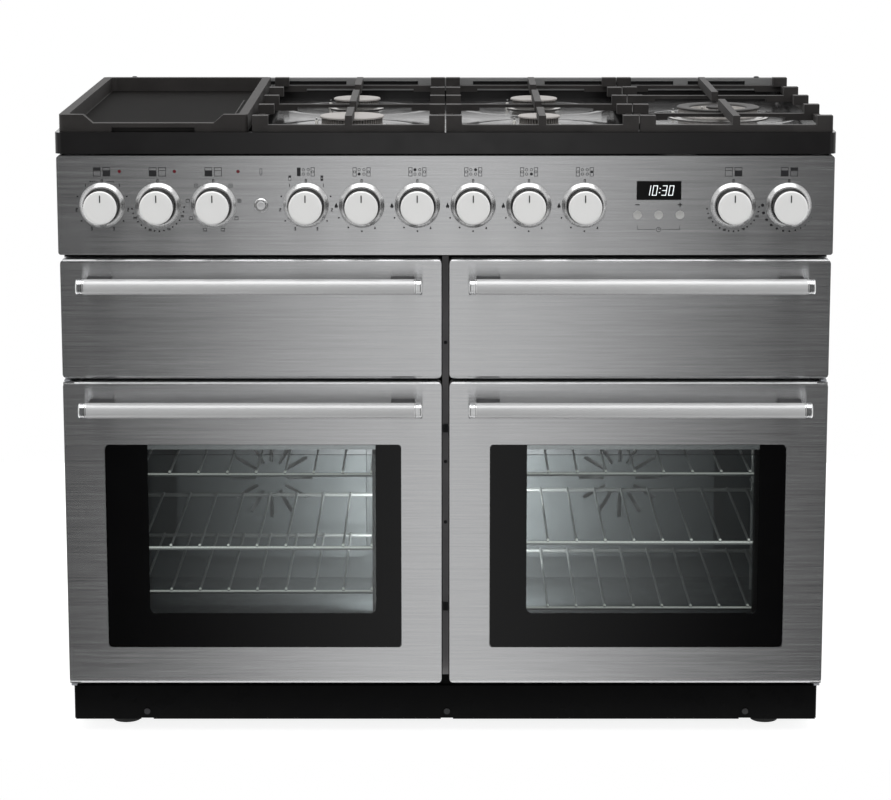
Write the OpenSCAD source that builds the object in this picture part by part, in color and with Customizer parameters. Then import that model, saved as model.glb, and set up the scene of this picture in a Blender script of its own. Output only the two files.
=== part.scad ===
// Range cooker: two side-opening ovens, two drop-down upper doors, a gas hob with a griddle.
// Front faces -Y, +X is to the right, +Z is up. The origin lies on the floor, under the middle.

/* [Overall] */
// Width across the doors
body_w = 1092; // [1040:1:1150]
// Depth from the door faces to the back
body_d = 608; // [590:1:640]
// How far the hob reaches past the doors on each side
hob_over = 4; // [2:0.5:8]
// Height of the hob's edge
hob_h = 30; // [24:1:36]
// Thickness of folded sheet steel
sheet_t = 2; // [1.5:0.1:2.5]

/* [Base] */
// Gap between the floor and the plinth
floor_gap = 20; // [14:1:30]
// Height of the plinth
plinth_h = 51; // [45:1:56]
// How far the plinth lies behind the door faces
plinth_setback = 36; // [30:1:36]
// Radius of a levelling foot
foot_r = 20; // [14:1:24]

/* [Doors] */
// Thickness of a door
door_t = 36; // [32:1:40]
// Height of a lower door
lower_door_h = 448; // [440:1:450]
// Bottom edge of the lower doors
lower_door_z = 85; // [82:1:88]
// Height of an upper door
upper_door_h = 174; // [168:1:176]
// Gap between an upper and a lower door
door_gap_z = 3.5; // [3:0.1:6]
// Gap between the left and the right doors
door_gap_x = 11.5; // [8:0.5:16]
// Space between a door's back and the front frame
door_gap_y = 5; // [4:0.5:8]
// Corner radius of a door
door_r = 8; // [4:1:10]
// Steel on each side of a window pane
glass_side = 57.6; // [50:0.1:70]
// Steel below a window pane
glass_low = 55; // [50:1:65]
// Steel above a window pane
glass_top = 92; // [85:1:100]
// Distance from a door's corner to its hinge axis
hinge_in = 6; // [5:0.5:8]

/* [Handles] */
// How far the handles stand out of the doors
handle_out = 50; // [44:1:60]
// How far a handle's ends lie inside the door's sides
handle_side = 27; // [20:1:50]
// Radius of a handle bar
handle_r = 11; // [9:0.5:13]
// Length of a handle end cap
cap_l = 9; // [6:1:14]
// Height of the bar's axis below the door's top edge
handle_drop = 34; // [28:1:40]
// How far a post's middle lies inside the handle's end
post_in = 28; // [26:1:60]

/* [Control panel] */
// Height of the control panel
panel_h = 141; // [132:1:142]
// How far the control panel reaches past the doors on each side
panel_over = 2; // [0:0.5:3]
// Gap between the upper doors and the control panel
panel_gap = 5.5; // [4:0.5:8]
// Gap between the control panel and the hob
hob_gap = 3; // [2:0.5:5]
// Distance from the doors' outer edge to the outermost knobs
knob_edge = 61.6; // [56:0.1:66]
// Distance between the knobs on either side of the light switch
button_room = 130.4; // [120:0.1:136]
// Distance between the knobs on either side of the clock
clock_room = 209.6; // [200:0.1:216]
// Height of the knob axes above the panel's lower edge
knob_up = 71; // [66:1:76]
// Radius of a knob's face
knob_r = 23.5; // [20:0.5:25]
// How far a knob stands out of the panel
knob_out = 30; // [26:1:34]
// Outer radius of a knob's bezel
bezel_r = 32; // [28:0.5:33]
// Height of a knob's bezel
bezel_h = 9; // [6:1:12]

/* [Ovens] */
// Distance from a door's side to the oven's inner side
oven_side = 55; // [50:1:65]
// Distance from a lower door's bottom edge to the oven's floor
oven_low = 33; // [30:1:40]
// Distance from the oven's roof to the lower door's top edge
oven_top = 65; // [60:1:80]
// Inner depth of a lower oven
oven_d = 420; // [400:1:430]
// Door above and below the mouth of an upper oven
upper_margin = 19; // [17:1:24]
// Inner depth of an upper oven
upper_oven_d = 400; // [360:1:430]
// Heights of the three shelves above the oven floor, left oven
left_shelf_z = [88, 154, 264];
// Heights of the three shelves above the oven floor, right oven
right_shelf_z = [63, 162, 265];

/* [Hob] */
// Distance from the door faces to the front burners
front_burner_y = 164; // [155:1:170]
// Distance from the door faces to the rear burners
rear_burner_y = 414; // [405:1:420]
// Height of a pan support above the hob rim
support_h = 23; // [20:1:26]
// Height of the vent trim at the back above the hob rim
vent_h = 20; // [16:1:24]
// Height of the griddle's corners above the hob rim
griddle_h = 24; // [22:1:30]

/* [Hidden] */
$fn = 48;
fit = 0.3;
run_fit = 0.05;

y_front = handle_out - (body_d + handle_out) / 2;
y_back = y_front + body_d;
door_w = (body_w - door_gap_x) / 2;
door_x = (door_w + door_gap_x) / 2;
upper_door_z = lower_door_z + lower_door_h + door_gap_z;
glass_w = door_w - 2 * glass_side;
glass_h = lower_door_h - glass_low - glass_top;
glass_z = lower_door_z + glass_low;
handle_l = door_w - 2 * handle_side;
post_pitch = handle_l - 2 * post_in;
frame_y = y_front + door_t + door_gap_y;
frame_t = 3;
panel_z = upper_door_z + upper_door_h + panel_gap;
panel_w = body_w + 2 * panel_over;
knob_z = panel_z + knob_up;
hob_under = panel_z + panel_h + hob_gap;
hob_z = hob_under + hob_h;
hob_w = body_w + 2 * hob_over;
zone_w = body_w / 4;
casing_w = body_w - 2;
plinth_w = casing_w - 4;
plinth_y = y_front + plinth_setback;
hob_plate = 3;
hob_sink = 10;
hob_floor = hob_z - hob_sink;
casing_top = hob_under - fit;
base_z = floor_gap;
base_h = 30;

oven_w = door_w - 2 * oven_side;
oven_z = lower_door_z + oven_low;
oven_h = lower_door_h - oven_low - oven_top;
upper_oven_z = upper_door_z + upper_margin;
upper_oven_h = upper_door_h - 2 * upper_margin;
wall_t = 1.5;
oven_back = frame_y + frame_t + fit + oven_d;

knob_pitch = (body_w - 2 * knob_edge - button_room - clock_room) / 8;
first_knob_x = -body_w / 2 + knob_edge;
left_knob_x = [for (i = [0 : 2]) first_knob_x + i * knob_pitch];
hob_knob_x = [for (i = [0 : 5]) left_knob_x[2] + button_room + i * knob_pitch];
right_knob_x = [for (i = [0 : 1]) hob_knob_x[5] + clock_room + i * knob_pitch];
button_x = left_knob_x[2] + button_room / 2 + 2;
clock_x = hob_knob_x[5] + clock_room / 2;
knob_x = concat(left_knob_x, hob_knob_x, right_knob_x);
switch_x = concat(left_knob_x, [hob_knob_x[0]], right_knob_x);
tap_x = [for (i = [1 : 5]) hob_knob_x[i]];
spindle_r = 3;
hole_r = 6;
button_r = 6.5;
lamp_aside = [25, 24, 35];
lamp_x = [for (i = [0 : 2]) left_knob_x[i] + lamp_aside[i]];
lamp_r = 2.4;
lamp_up = 48;
display_w = 63;
display_h = 27;
display_up = 7.5;

// Burners: place in x, distance behind the door faces, radius of the cap, radius of its hole
burners = [
    [-zone_w / 2, front_burner_y, 47, 0],
    [-zone_w / 2, rear_burner_y, 36, 0],
    [zone_w / 2, rear_burner_y, 36, 0],
    [zone_w / 2, front_burner_y, 31, 0],
    [zone_w * 1.5, (front_burner_y + rear_burner_y) / 2, 62, 42]
];
throat_r = 17;
inner_burner_r = 18;
burner_top = hob_z + 7;

pin_r = 3;
pin_bore_r = pin_r + run_fit;
lug_t = 3;
pin_l = 10;

// A box from its lowest corner to its highest
module span(low, high) {
    translate(low) cube(high - low);
}

// A slab with rounded corners in the XZ plane, from y to y + depth
module slab(x, w, z, h, y, depth, r) {
    translate([x, y + depth, z])
        rotate([90, 0, 0])
            linear_extrude(height = depth)
                rounded_2d(w, h, r);
}

module rounded_2d(w, h, r) {
    union() {
        translate([-w / 2 + r, 0]) square([w - 2 * r, h]);
        translate([-w / 2, r]) square([w, h - 2 * r]);
        for (i = [-1, 1], j = [0, 1])
            translate([i * (w / 2 - r), r + j * (h - 2 * r)]) circle(r);
    }
}

// A cylinder along Y from y to y + length
module rod_y(x, y, z, length, r) {
    translate([x, y, z]) rotate([-90, 0, 0]) cylinder(h = length, r = r);
}

// A cylinder along X from x to x + length
module rod_x(x, y, z, length, r) {
    translate([x, y, z]) rotate([0, 90, 0]) cylinder(h = length, r = r);
}

module base_frame() {
    color("dimgray")
        difference() {
            span([-casing_w / 2 + sheet_t + fit, frame_y + frame_t + fit, base_z],
                [casing_w / 2 - sheet_t - fit, y_back - sheet_t - fit, base_z + base_h]);
            span([-casing_w / 2 + 2 * sheet_t + fit, frame_y + frame_t + sheet_t + fit,
                base_z + sheet_t],
                [casing_w / 2 - 2 * sheet_t - fit, y_back - 2 * sheet_t - fit,
                base_z + base_h + 1]);
        }
}

module side_panels() {
    color("dimgray")
        for (s = [-1, 1])
            translate([s * (casing_w - sheet_t) / 2, 0, 0])
                span([-sheet_t / 2, frame_y, base_z], [sheet_t / 2, y_back, casing_top]);
}

// The back sheet, with the hole that the gas inlet comes through
module back_panel() {
    color("gray")
        difference() {
            span([-casing_w / 2 + sheet_t + fit, y_back - sheet_t, base_z],
                [casing_w / 2 - sheet_t - fit, y_back, casing_top]);
            rod_y(inlet_x, y_back - 2 * sheet_t, knob_z, 3 * sheet_t, inlet_hole_r);
            for (s = [-1, 1])
                rod_y(s * anchor_pitch / 2, y_back - 2 * sheet_t, anchor_z, 3 * sheet_t, anchor_r);
        }
}

oven_mouth_r = 12;
frame_top = panel_z + 10;

// The enamelled face plate that the doors close on
module front_frame() {
    color("black")
        difference() {
            span([-casing_w / 2 + sheet_t + fit, frame_y, base_z],
                [casing_w / 2 - sheet_t - fit, frame_y + frame_t, frame_top]);
            for (s = [-1, 1]) {
                slab(s * door_x, oven_w, oven_z, oven_h, frame_y - 1, frame_t + 2, oven_mouth_r);
                slab(s * door_x, oven_w, upper_oven_z, upper_oven_h, frame_y - 1, frame_t + 2,
                    oven_mouth_r);
            }
        }
}

screw_r = 4.5;
screw_x = [-438, 2, 440];
screw_z = floor_gap + 12;

// The plinth: a folded sheet with a pressed notch round each screw
module plinth() {
    color("black")
        difference() {
            span([-plinth_w / 2, plinth_y, floor_gap],
                [plinth_w / 2, frame_y - fit, floor_gap + plinth_h]);
            span([-plinth_w / 2 - 1, plinth_y + sheet_t, floor_gap - 1],
                [plinth_w / 2 + 1, frame_y + 1, floor_gap + plinth_h - sheet_t]);
            for (x = screw_x)
                span([x - 9, plinth_y - 1, floor_gap - 1], [x + 9, plinth_y + 10, floor_gap + 3]);
        }
}

module fixing_screws() {
    color("dimgray")
        for (x = screw_x) rod_y(x, plinth_y - 2, screw_z, 2, screw_r);
}

// Four feet: a round pad, and a stem that stands on it and reaches the base frame
module levelling_feet() {
    color("dimgray")
        for (s = [-1, 1], y = [frame_y + 60, y_back - 60])
            translate([s * (casing_w / 2 - 70), y, 0]) {
                cylinder(h = 8, r = foot_r);
                cylinder(h = base_z - fit, r = foot_r * 0.45);
            }
}

// One enamelled box, open at the front
module cavity(x, z, h, d, fan_hole) {
    difference() {
        span([x - oven_w / 2 - wall_t, frame_y + frame_t + fit, z - wall_t],
            [x + oven_w / 2 + wall_t, frame_y + frame_t + fit + d, z + h + wall_t]);
        span([x - oven_w / 2, frame_y, z], [x + oven_w / 2, frame_y + frame_t + fit + d - wall_t, z + h]);
        if (fan_hole)
            rod_y(x, frame_y + d - baffle_gap, z + h / 2, 2 * baffle_gap, shaft_r + 2);
    }
}

module oven_cavities() {
    color("slategray")
        for (s = [-1, 1]) cavity(s * door_x, oven_z, oven_h, oven_d, true);
}

module upper_cavities() {
    color("slategray")
        for (s = [-1, 1]) cavity(s * door_x, upper_oven_z, upper_oven_h, upper_oven_d, false);
}

seal_w = 8;

module oven_seals() {
    color("darkslategray")
        for (s = [-1, 1])
            difference() {
                slab(s * door_x, oven_w + 2 * seal_w, oven_z - seal_w, oven_h + 2 * seal_w,
                    frame_y - door_gap_y + fit, door_gap_y - fit, oven_mouth_r + seal_w);
                slab(s * door_x, oven_w, oven_z, oven_h, frame_y - door_gap_y - 1,
                    door_gap_y + 2, oven_mouth_r);
            }
}

fan_r = 75;
baffle_gap = 40;
baffle_y = oven_back - wall_t - baffle_gap;
baffle_w = 300;
baffle_h = 260;
shaft_r = 4;

// The cover in front of each fan, with its ring of slots
module fan_baffles() {
    color("slategray")
        for (s = [-1, 1])
            translate([s * door_x, 0, oven_z + oven_h / 2])
                difference() {
                    slab(0, baffle_w, -baffle_h / 2, baffle_h, baffle_y, baffle_gap - fit, 10);
                    slab(0, baffle_w - 3, -baffle_h / 2 + 1.5, baffle_h - 3, baffle_y + 1.5,
                        baffle_gap, 9);
                    for (a = [0 : 30 : 330])
                        rotate([0, a, 0])
                            span([-3, baffle_y - 1, 25], [3, baffle_y + 3, 65]);
                }
}

rotor_w = 22;
rotor_y = baffle_y + 9;

// A hub, a back disc and radial blades, bored for the motor shaft
module fan_rotor(x) {
    color("silver")
        translate([x, rotor_y, oven_z + oven_h / 2])
            difference() {
                union() {
                    rod_y(0, 0, 0, rotor_w, 10);
                    rod_y(0, rotor_w - 1.5, 0, 1.5, fan_r - 4);
                    for (a = [0 : 36 : 324])
                        rotate([0, a, 0]) span([-0.75, 3, 8], [0.75, rotor_w, fan_r - 8]);
                }
                rod_y(0, -1, 0, rotor_w + 2, shaft_r + run_fit);
            }
}

module left_fan_rotor() {
    fan_rotor(-door_x);
}

module right_fan_rotor() {
    fan_rotor(door_x);
}

motor_l = 60;
motor_r = 38;

// A motor can behind each oven, whose shaft carries the rotor
module fan_motors() {
    color("gray")
        for (s = [-1, 1])
            translate([s * door_x, 0, oven_z + oven_h / 2]) {
                rod_y(0, oven_back + fit, 0, motor_l, motor_r);
                rod_y(0, rotor_y - 2, 0, oven_back + 6 - rotor_y, shaft_r);
            }
}

element_r = 92;
wire_r = 3.2;
grill_pitch = 76;
grill_in = 40;

// A ring element round each fan, and a grill element under the roof of the upper left oven
module heating_elements() {
    color("dimgray") {
        for (s = [-1, 1])
            translate([s * door_x, rotor_y + rotor_w / 2, oven_z + oven_h / 2]) {
                rotate([90, 0, 0])
                    rotate_extrude() translate([element_r, 0]) circle(wire_r);
                for (i = [-1, 1])
                    rod_y(i * 12, 0, -element_r + 1, oven_back - wall_t - rotor_y - rotor_w / 2 - fit,
                        wire_r - 0.6);
            }
        translate([-door_x, 0, upper_oven_z + upper_oven_h - 14]) {
            for (i = [-2 : 2])
                rod_y(i * grill_pitch, frame_y + grill_in, 0, upper_oven_d - grill_in + frame_t - wall_t,
                    wire_r);
            for (y = [frame_y + grill_in + 4, frame_y + upper_oven_d - 60])
                rod_x(-2 * grill_pitch - wire_r, y, 0, 4 * grill_pitch + 2 * wire_r, wire_r - 0.6);
        }
    }
}

runner_in = 9;
shelf_w = oven_w - 2 * runner_in - 1;
shelf_d = oven_d - baffle_gap - 40;
shelf_y = frame_y + 22;
rail_r = 2.5;

// The side racks: a pair of rails at each shelf height, joined by three uprights
module runner(x, side, levels) {
    for (z = levels) {
        rod_y(x, shelf_y, oven_z + z - 6, shelf_d, rail_r);
        rod_y(x, shelf_y, oven_z + z + 14, shelf_d, rail_r);
    }
    for (y = [shelf_y + 30, shelf_y + shelf_d / 2, shelf_y + shelf_d - 30])
        translate([x, y, oven_z + 6]) cylinder(h = oven_h - 30, r = rail_r + 0.7);
    for (y = [shelf_y + 30, shelf_y + shelf_d - 30], z = [30, oven_h - 60])
        rod_x(side < 0 ? x - runner_in + 0.3 : x, y, oven_z + z, runner_in - 0.3, rail_r - 0.6);
}

module shelf_runners() {
    color("silver")
        for (s = [-1, 1], side = [-1, 1])
            runner(s * door_x + side * (oven_w / 2 - runner_in), side,
                s < 0 ? left_shelf_z : right_shelf_z);
}

wires = 9;

// One wire shelf: a frame of thick wire with thin wires from front to back
module shelf(x, z) {
    translate([x, shelf_y, z]) {
        for (y = [3, shelf_d - 10]) rod_x(-shelf_w / 2, y, 0, shelf_w, 3);
        for (i = [-1, 1]) rod_y(i * (shelf_w / 2 - 7), 0, 0, shelf_d - 7, 2.6);
        for (i = [0 : wires - 1])
            rod_y((i - (wires - 1) / 2) * 42, 0, 2.5, shelf_d - 7, 1.8);
    }
}

shelf_lift = -6 + rail_r + 3 + 0.1;

module oven_shelves() {
    color("silver") {
        for (z = left_shelf_z) shelf(-door_x, oven_z + z + shelf_lift);
        for (z = right_shelf_z) shelf(door_x, oven_z + z + shelf_lift);
    }
}

pan_w = 380;
pan_d = 330;
pan_h = 34;

// The grill pan on the floor of the upper left oven
module grill_pan() {
    color("dimgray")
        translate([-door_x, frame_y + 30, upper_oven_z + fit])
            difference() {
                span([-pan_w / 2, 0, 0], [pan_w / 2, pan_d, pan_h]);
                span([-pan_w / 2 + 2, 2, 2], [pan_w / 2 - 2, pan_d - 2, pan_h + 1]);
            }
}

pivot_x = body_w / 2 - hinge_in;
pivot_y = y_front + hinge_in;
upper_pivot_z = upper_door_z + hinge_in;
lower_door_top = lower_door_z + lower_door_h;
arm_half = 4;
mid_arm_t = door_gap_z - 1.5;
leaf_t = 5;
leaf_in = 22;
leaf_x = [for (s = [-1, 1], e = [-1, 1]) s * door_x + e * (door_w / 2 - leaf_in)];
leaf_pin_l = 8;

// Brackets on the front frame: an arm with a pin below and above each oven door, and for each
// upper door two upright leaves, each with a cross pin
module hinge_brackets() {
    color("gray") {
        for (s = [-1, 1]) {
            span_mirror(s, [pivot_x - arm_half, pivot_y - arm_half, lower_door_z - fit - lug_t],
                [pivot_x + arm_half, frame_y, lower_door_z - fit]);
            translate([s * pivot_x, pivot_y, lower_door_z - fit - 1])
                cylinder(h = pin_l + 1, r = pin_r);
            span_mirror(s, [pivot_x - arm_half, pivot_y - arm_half, lower_door_top + fit],
                [pivot_x + arm_half, frame_y, lower_door_top + fit + mid_arm_t]);
            translate([s * pivot_x, pivot_y, lower_door_top + fit - pin_l])
                cylinder(h = pin_l + 1, r = pin_r);
        }
        for (x = leaf_x) {
            span([x - leaf_t / 2, pivot_y - 3, upper_pivot_z - 3],
                [x + leaf_t / 2, frame_y, upper_pivot_z + 3]);
            rod_x(x - leaf_t / 2 - leaf_pin_l, pivot_y, upper_pivot_z, leaf_t + 2 * leaf_pin_l, pin_r);
        }
    }
}

// A box given for the right side, mirrored to the left when s is negative
module span_mirror(s, low, high) {
    if (s > 0) span(low, high);
    else mirror([1, 0, 0]) span(low, high);
}

// The steel fascia with a hole for each control
module control_panel() {
    color("silver")
        difference() {
            slab(0, panel_w, panel_z, panel_h, y_front, frame_y - fit - y_front, 4);
            span([-panel_w / 2 - 1, y_front + sheet_t, panel_z + sheet_t],
                [panel_w / 2 + 1, frame_y + 1, panel_z + panel_h - sheet_t]);
            for (x = knob_x) rod_y(x, y_front - 1, knob_z, sheet_t + 2, hole_r);
            rod_y(button_x, y_front - 1, knob_z, sheet_t + 2, button_r + fit);
            for (x = lamp_x) rod_y(x, y_front - 1, knob_z + lamp_up, sheet_t + 2, lamp_r);
            span([clock_x - display_w / 2, y_front - 1, knob_z + display_up],
                [clock_x + display_w / 2, y_front + sheet_t + 1, knob_z + display_up + display_h]);
        }
}

// The raised chrome ring round each knob and the collar of the light switch
module knob_bezels() {
    color("lightgray") {
        for (x = knob_x)
            translate([x, y_front, knob_z])
                rotate([90, 0, 0])
                    difference() {
                        union() {
                            cylinder(h = bezel_h * 0.6, r = bezel_r);
                            translate([0, 0, bezel_h * 0.6])
                                cylinder(h = bezel_h * 0.4, r1 = bezel_r, r2 = knob_r + 3);
                        }
                        translate([0, 0, 2]) cylinder(h = bezel_h, r = knob_r + 1.5);
                        translate([0, 0, -1]) cylinder(h = bezel_h, r = hole_r);
                    }
        translate([button_x, y_front, knob_z])
            rotate([90, 0, 0])
                difference() {
                    cylinder(h = 4, r = button_r + 3.5);
                    translate([0, 0, -1]) cylinder(h = 6, r = button_r + fit);
                }
    }
}

module indicator_lights() {
    color("firebrick")
        for (x = lamp_x) {
            rod_y(x, y_front, knob_z + lamp_up, 12, lamp_r - run_fit);
            rod_y(x, y_front + sheet_t + fit, knob_z + lamp_up, 8, lamp_r + 2);
        }
}

// The clock's window and the module behind it, with three touch pads on the panel's face
module clock_display() {
    color("black") {
        span([clock_x - display_w / 2 + fit, y_front - 0.5, knob_z + display_up + fit],
            [clock_x + display_w / 2 - fit, y_front + sheet_t + fit,
                knob_z + display_up + display_h - fit]);
        span([clock_x - display_w / 2 - 5, y_front + sheet_t + fit, knob_z - 20],
            [clock_x + display_w / 2 + 5, y_front + 22, knob_z + display_up + display_h + 6]);
        for (i = [-1 : 1]) rod_y(clock_x + i * 30, y_front - 0.6, knob_z - 14, 0.6, 6);
    }
}

switch_w = 40;
switch_d = 28;

// Behind the panel: a switch body for each electric control and a tap for each burner
module taps_and_switches() {
    color("dimgray") {
        for (x = switch_x) {
            span([x - switch_w / 2, y_front + sheet_t, knob_z - switch_w / 2],
                [x + switch_w / 2, y_front + sheet_t + switch_d, knob_z + switch_w / 2]);
        }
        for (x = tap_x) {
            rod_y(x, y_front + sheet_t, knob_z, tap_l, 15);
        }
    }
}

anchor_pitch = 100;
anchor_z = hob_z - 190;
anchor_r = 3.5;
inlet_x = 380;
inlet_r = 10.48;
inlet_l = 30;
inlet_hole_r = 26;
manifold_r = 9;
tap_l = 34;
manifold_y = y_front + sheet_t + tap_l + manifold_r;

// The gas rail behind the taps, the pipe to the back and its threaded inlet
module gas_manifold() {
    color("goldenrod") {
        rod_x(tap_x[0] - 30, manifold_y, knob_z, inlet_x - tap_x[0] + 30 + manifold_r, manifold_r);
        rod_y(inlet_x, manifold_y, knob_z, y_back - inlet_l - manifold_y + 1, manifold_r - 1);
        rod_y(inlet_x, y_back - inlet_l, knob_z, inlet_l, inlet_r);
    }
}

rim_w = 14;

// The enamelled hob: a tray with a raised rim, open underneath
module hob_top() {
    color("black")
        difference() {
            translate([0, y_front, hob_under])
                linear_extrude(height = hob_h) rounded_2d(hob_w, body_d, 10);
            translate([0, y_front + hob_plate, hob_under - 1])
                linear_extrude(height = hob_h - hob_sink - hob_plate + 1)
                    rounded_2d(hob_w - 2 * hob_plate, body_d - 2 * hob_plate, 7);
            translate([0, y_front + rim_w, hob_floor])
                linear_extrude(height = hob_sink + 1)
                    rounded_2d(hob_w - 2 * rim_w, body_d - 2 * rim_w, 20);
            for (b = burners)
                translate([b[0], y_front + b[1], hob_floor - hob_plate - 1])
                    cylinder(h = hob_plate + 2, r = throat_r + 1);
        }
}

plate_in = 40;
plate_side = 30;

// The heated plate below the griddle
module griddle_hotplate() {
    color("darkslategray")
        translate([-zone_w * 1.5, y_front + plate_in, hob_floor])
            linear_extrude(height = 4) rounded_2d(zone_w - 2 * plate_side, griddle_d - 2 * plate_in, 12);
}

throat_l = 34;
flange_t = 3;
cap_t = 3.5;
crown_in = 4;

// The throat of each burner, which hangs through the hob
module burner_bases() {
    color("silver")
        for (b = burners)
            translate([b[0], y_front + b[1], hob_floor - throat_l]) {
                difference() {
                    union() {
                        cylinder(h = throat_l, r = throat_r);
                        translate([0, 0, throat_l]) cylinder(h = flange_t, r = b[2] - crown_in - 2);
                    }
                    translate([0, 0, -1]) cylinder(h = throat_l + flange_t + 2, r = throat_r - 4);
                }
            }
}

crown_h = burner_top - hob_floor - flange_t - cap_t;

// A ring with gas ports round its upper edge
module crown(r) {
    difference() {
        cylinder(h = crown_h, r = r);
        translate([0, 0, -1]) cylinder(h = crown_h + 2, r = r - 10);
        for (a = [0 : 30 : 330])
            rotate([0, 0, a]) translate([r - 5, -1, 3]) cube([10, 2, crown_h]);
    }
}

// The ported crown on each base, and a second one inside the wok burner's
module burner_crowns() {
    color("gray")
        for (b = burners)
            translate([b[0], y_front + b[1], hob_floor + flange_t]) {
                crown(b[2] - crown_in);
                if (b[3] > 0) crown(inner_burner_r - 2);
            }
}

// A flat cap with a bevelled edge, open in the middle where hole is above 0
module cap(r, hole) {
    difference() {
        union() {
            cylinder(h = cap_t - 1, r = r);
            translate([0, 0, cap_t - 1]) cylinder(h = 1, r1 = r, r2 = r - 2);
        }
        if (hole > 0) translate([0, 0, -1]) cylinder(h = cap_t + 2, r = hole);
    }
}

module burner_caps() {
    color("lightgray")
        for (b = burners)
            translate([b[0], y_front + b[1], burner_top - cap_t]) {
                cap(b[2], b[3]);
                if (b[3] > 0) cap(inner_burner_r, 0);
            }
}

// A spark electrode beside each burner
module igniters() {
    color("white")
        for (b = burners)
            translate([b[0] - b[2] - 5, y_front + b[1] + 4, hob_floor])
                cylinder(h = 9, r = 2.5);
}

// A knob: a round grip with a rounded face and a spindle through the panel
module knob(i) {
    color("whitesmoke")
        translate([knob_x[i], y_front, knob_z])
            rotate([90, 0, 0]) {
                translate([0, 0, 2 + fit]) cylinder(h = knob_out - 2 - fit - 1.5, r = knob_r);
                translate([0, 0, knob_out - 1.5])
                    cylinder(h = 1.5, r1 = knob_r, r2 = knob_r - 1.5);
                translate([0, 0, -sheet_t + fit])
                    cylinder(h = sheet_t + 3, r = spindle_r);
            }
}

module light_button() {
    color("silver")
        translate([button_x, y_front, knob_z])
            rotate([90, 0, 0]) {
                translate([0, 0, -8]) cylinder(h = 15, r = button_r);
            }
}

griddle_w = zone_w - 7;
griddle_d = 556;
griddle_floor = 3;
griddle_wall = 13;
lip_z = 12;
corner_w = 48;
shoulder_w = 15;
lip_cut_w = 117;
griddle_y = y_front + 8;
griddle_x = -zone_w * 1.5 - 2;

// What is cut from the griddle's front wall: half is half the lip's width
module lip_2d(half) {
    polygon([[-half, lip_z], [half, lip_z], [half + shoulder_w, griddle_h + 1],
        [-half - shoulder_w, griddle_h + 1]]);
}

// The cast griddle: a tray with high corners and a lower front lip
module griddle() {
    color("black")
        translate([griddle_x, griddle_y, hob_z + fit])
            difference() {
                linear_extrude(height = griddle_h) rounded_2d(griddle_w, griddle_d, 8);
                translate([0, griddle_wall, griddle_floor])
                    linear_extrude(height = griddle_h)
                        rounded_2d(griddle_w - 2 * griddle_wall, griddle_d - 2 * griddle_wall, 10);
                translate([0, griddle_wall + 1, 0]) rotate([90, 0, 0])
                    linear_extrude(height = griddle_wall + 2) lip_2d(griddle_w / 2 - corner_w);
                span([-lip_cut_w / 2, -1, -1], [lip_cut_w / 2, griddle_wall - 5, lip_z / 2]);
            }
}

bar_w = 10;
bar_top = hob_z + 10;
lug_l = 22;
lug_d = 16;
arch_in = 50;
arch_z = 5;
support_front = 6;
support_back = 30;
support_y = y_front + support_front;
support_d = body_d - support_front - support_back;
support_end = support_d - bar_w;
support_mid = (front_burner_y + rear_burner_y - bar_w) / 2 - support_front;
wok_reach = 128;
finger_gap = 39;
wok_finger_gap = 52;

// One cast pan support: side rails, cross bars, lugs, and a raised middle bar that is broken
// above each burner
module pan_support(x, bars, lugs, centres, gap) {
    half = zone_w / 2 - 1;
    color("dimgray")
        translate([x, support_y, 0]) {
            for (s = [-1, 1])
                span_mirror(s, [half - bar_w, 0, hob_z + fit], [half, support_d, bar_top]);
            for (y = bars)
                difference() {
                    span([-half, y, hob_z + fit], [half, y + bar_w, bar_top]);
                    if (y > 0)
                        span([-half + arch_in, y - 1, hob_z - 1], [half - arch_in, y + bar_w + 1, hob_z + arch_z]);
                }
            for (s = [-1, 1], y = lugs)
                span_mirror(s, [half - lug_l, y, bar_top - 1], [half, y + lug_d, hob_z + support_h]);
            difference() {
                span([-bar_w / 2, 0, bar_top - 1], [bar_w / 2, support_d, hob_z + support_h]);
                for (y = centres)
                    span([-bar_w, y - support_front - gap, hob_z],
                        [bar_w, y - support_front + gap, hob_z + support_h + 1]);
            }
        }
}

two_burner_bars = [0, support_mid, support_end];
two_burner_lugs = [0, front_burner_y - support_front - lug_d / 2, support_mid,
    rear_burner_y - support_front - lug_d / 2, support_d - lug_d];
wok_y = (front_burner_y + rear_burner_y) / 2;
wok_bars = [0, support_mid - wok_reach, support_mid + wok_reach, support_end];
wok_lugs = [0, support_mid - wok_reach, support_mid, support_mid + wok_reach, support_d - lug_d];

module pan_support_left() {
    pan_support(-zone_w / 2, two_burner_bars, two_burner_lugs, [front_burner_y, rear_burner_y], finger_gap);
}

module pan_support_middle() {
    pan_support(zone_w / 2, two_burner_bars, two_burner_lugs, [front_burner_y, rear_burner_y], finger_gap);
}

module pan_support_wok() {
    pan_support(zone_w * 1.5, wok_bars, wok_lugs, [wok_y], wok_finger_gap);
}

vent_d = 15;
vent_end = 15;
vent_slot_l = 92;
vent_slot_h = 6;
vent_x = [90, 205, 320, 435];

// The trim along the back of the hob, with slots for the ovens' vents
module vent_trim() {
    color("gray")
        difference() {
            span([-body_w / 2 + vent_end, y_back - vent_d - 1, hob_z + fit],
                [body_w / 2 - vent_end, y_back - 1, hob_z + vent_h]);
            for (s = [-1, 1], x = vent_x)
                span([s * x - vent_slot_l / 2, y_back - vent_d - 2, hob_z + vent_h - 5 - vent_slot_h],
                    [s * x + vent_slot_l / 2, y_back - 3, hob_z + vent_h - 5]);
        }
}

skin_d = 22;
edge_r = 6;
block_w = 16;

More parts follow.
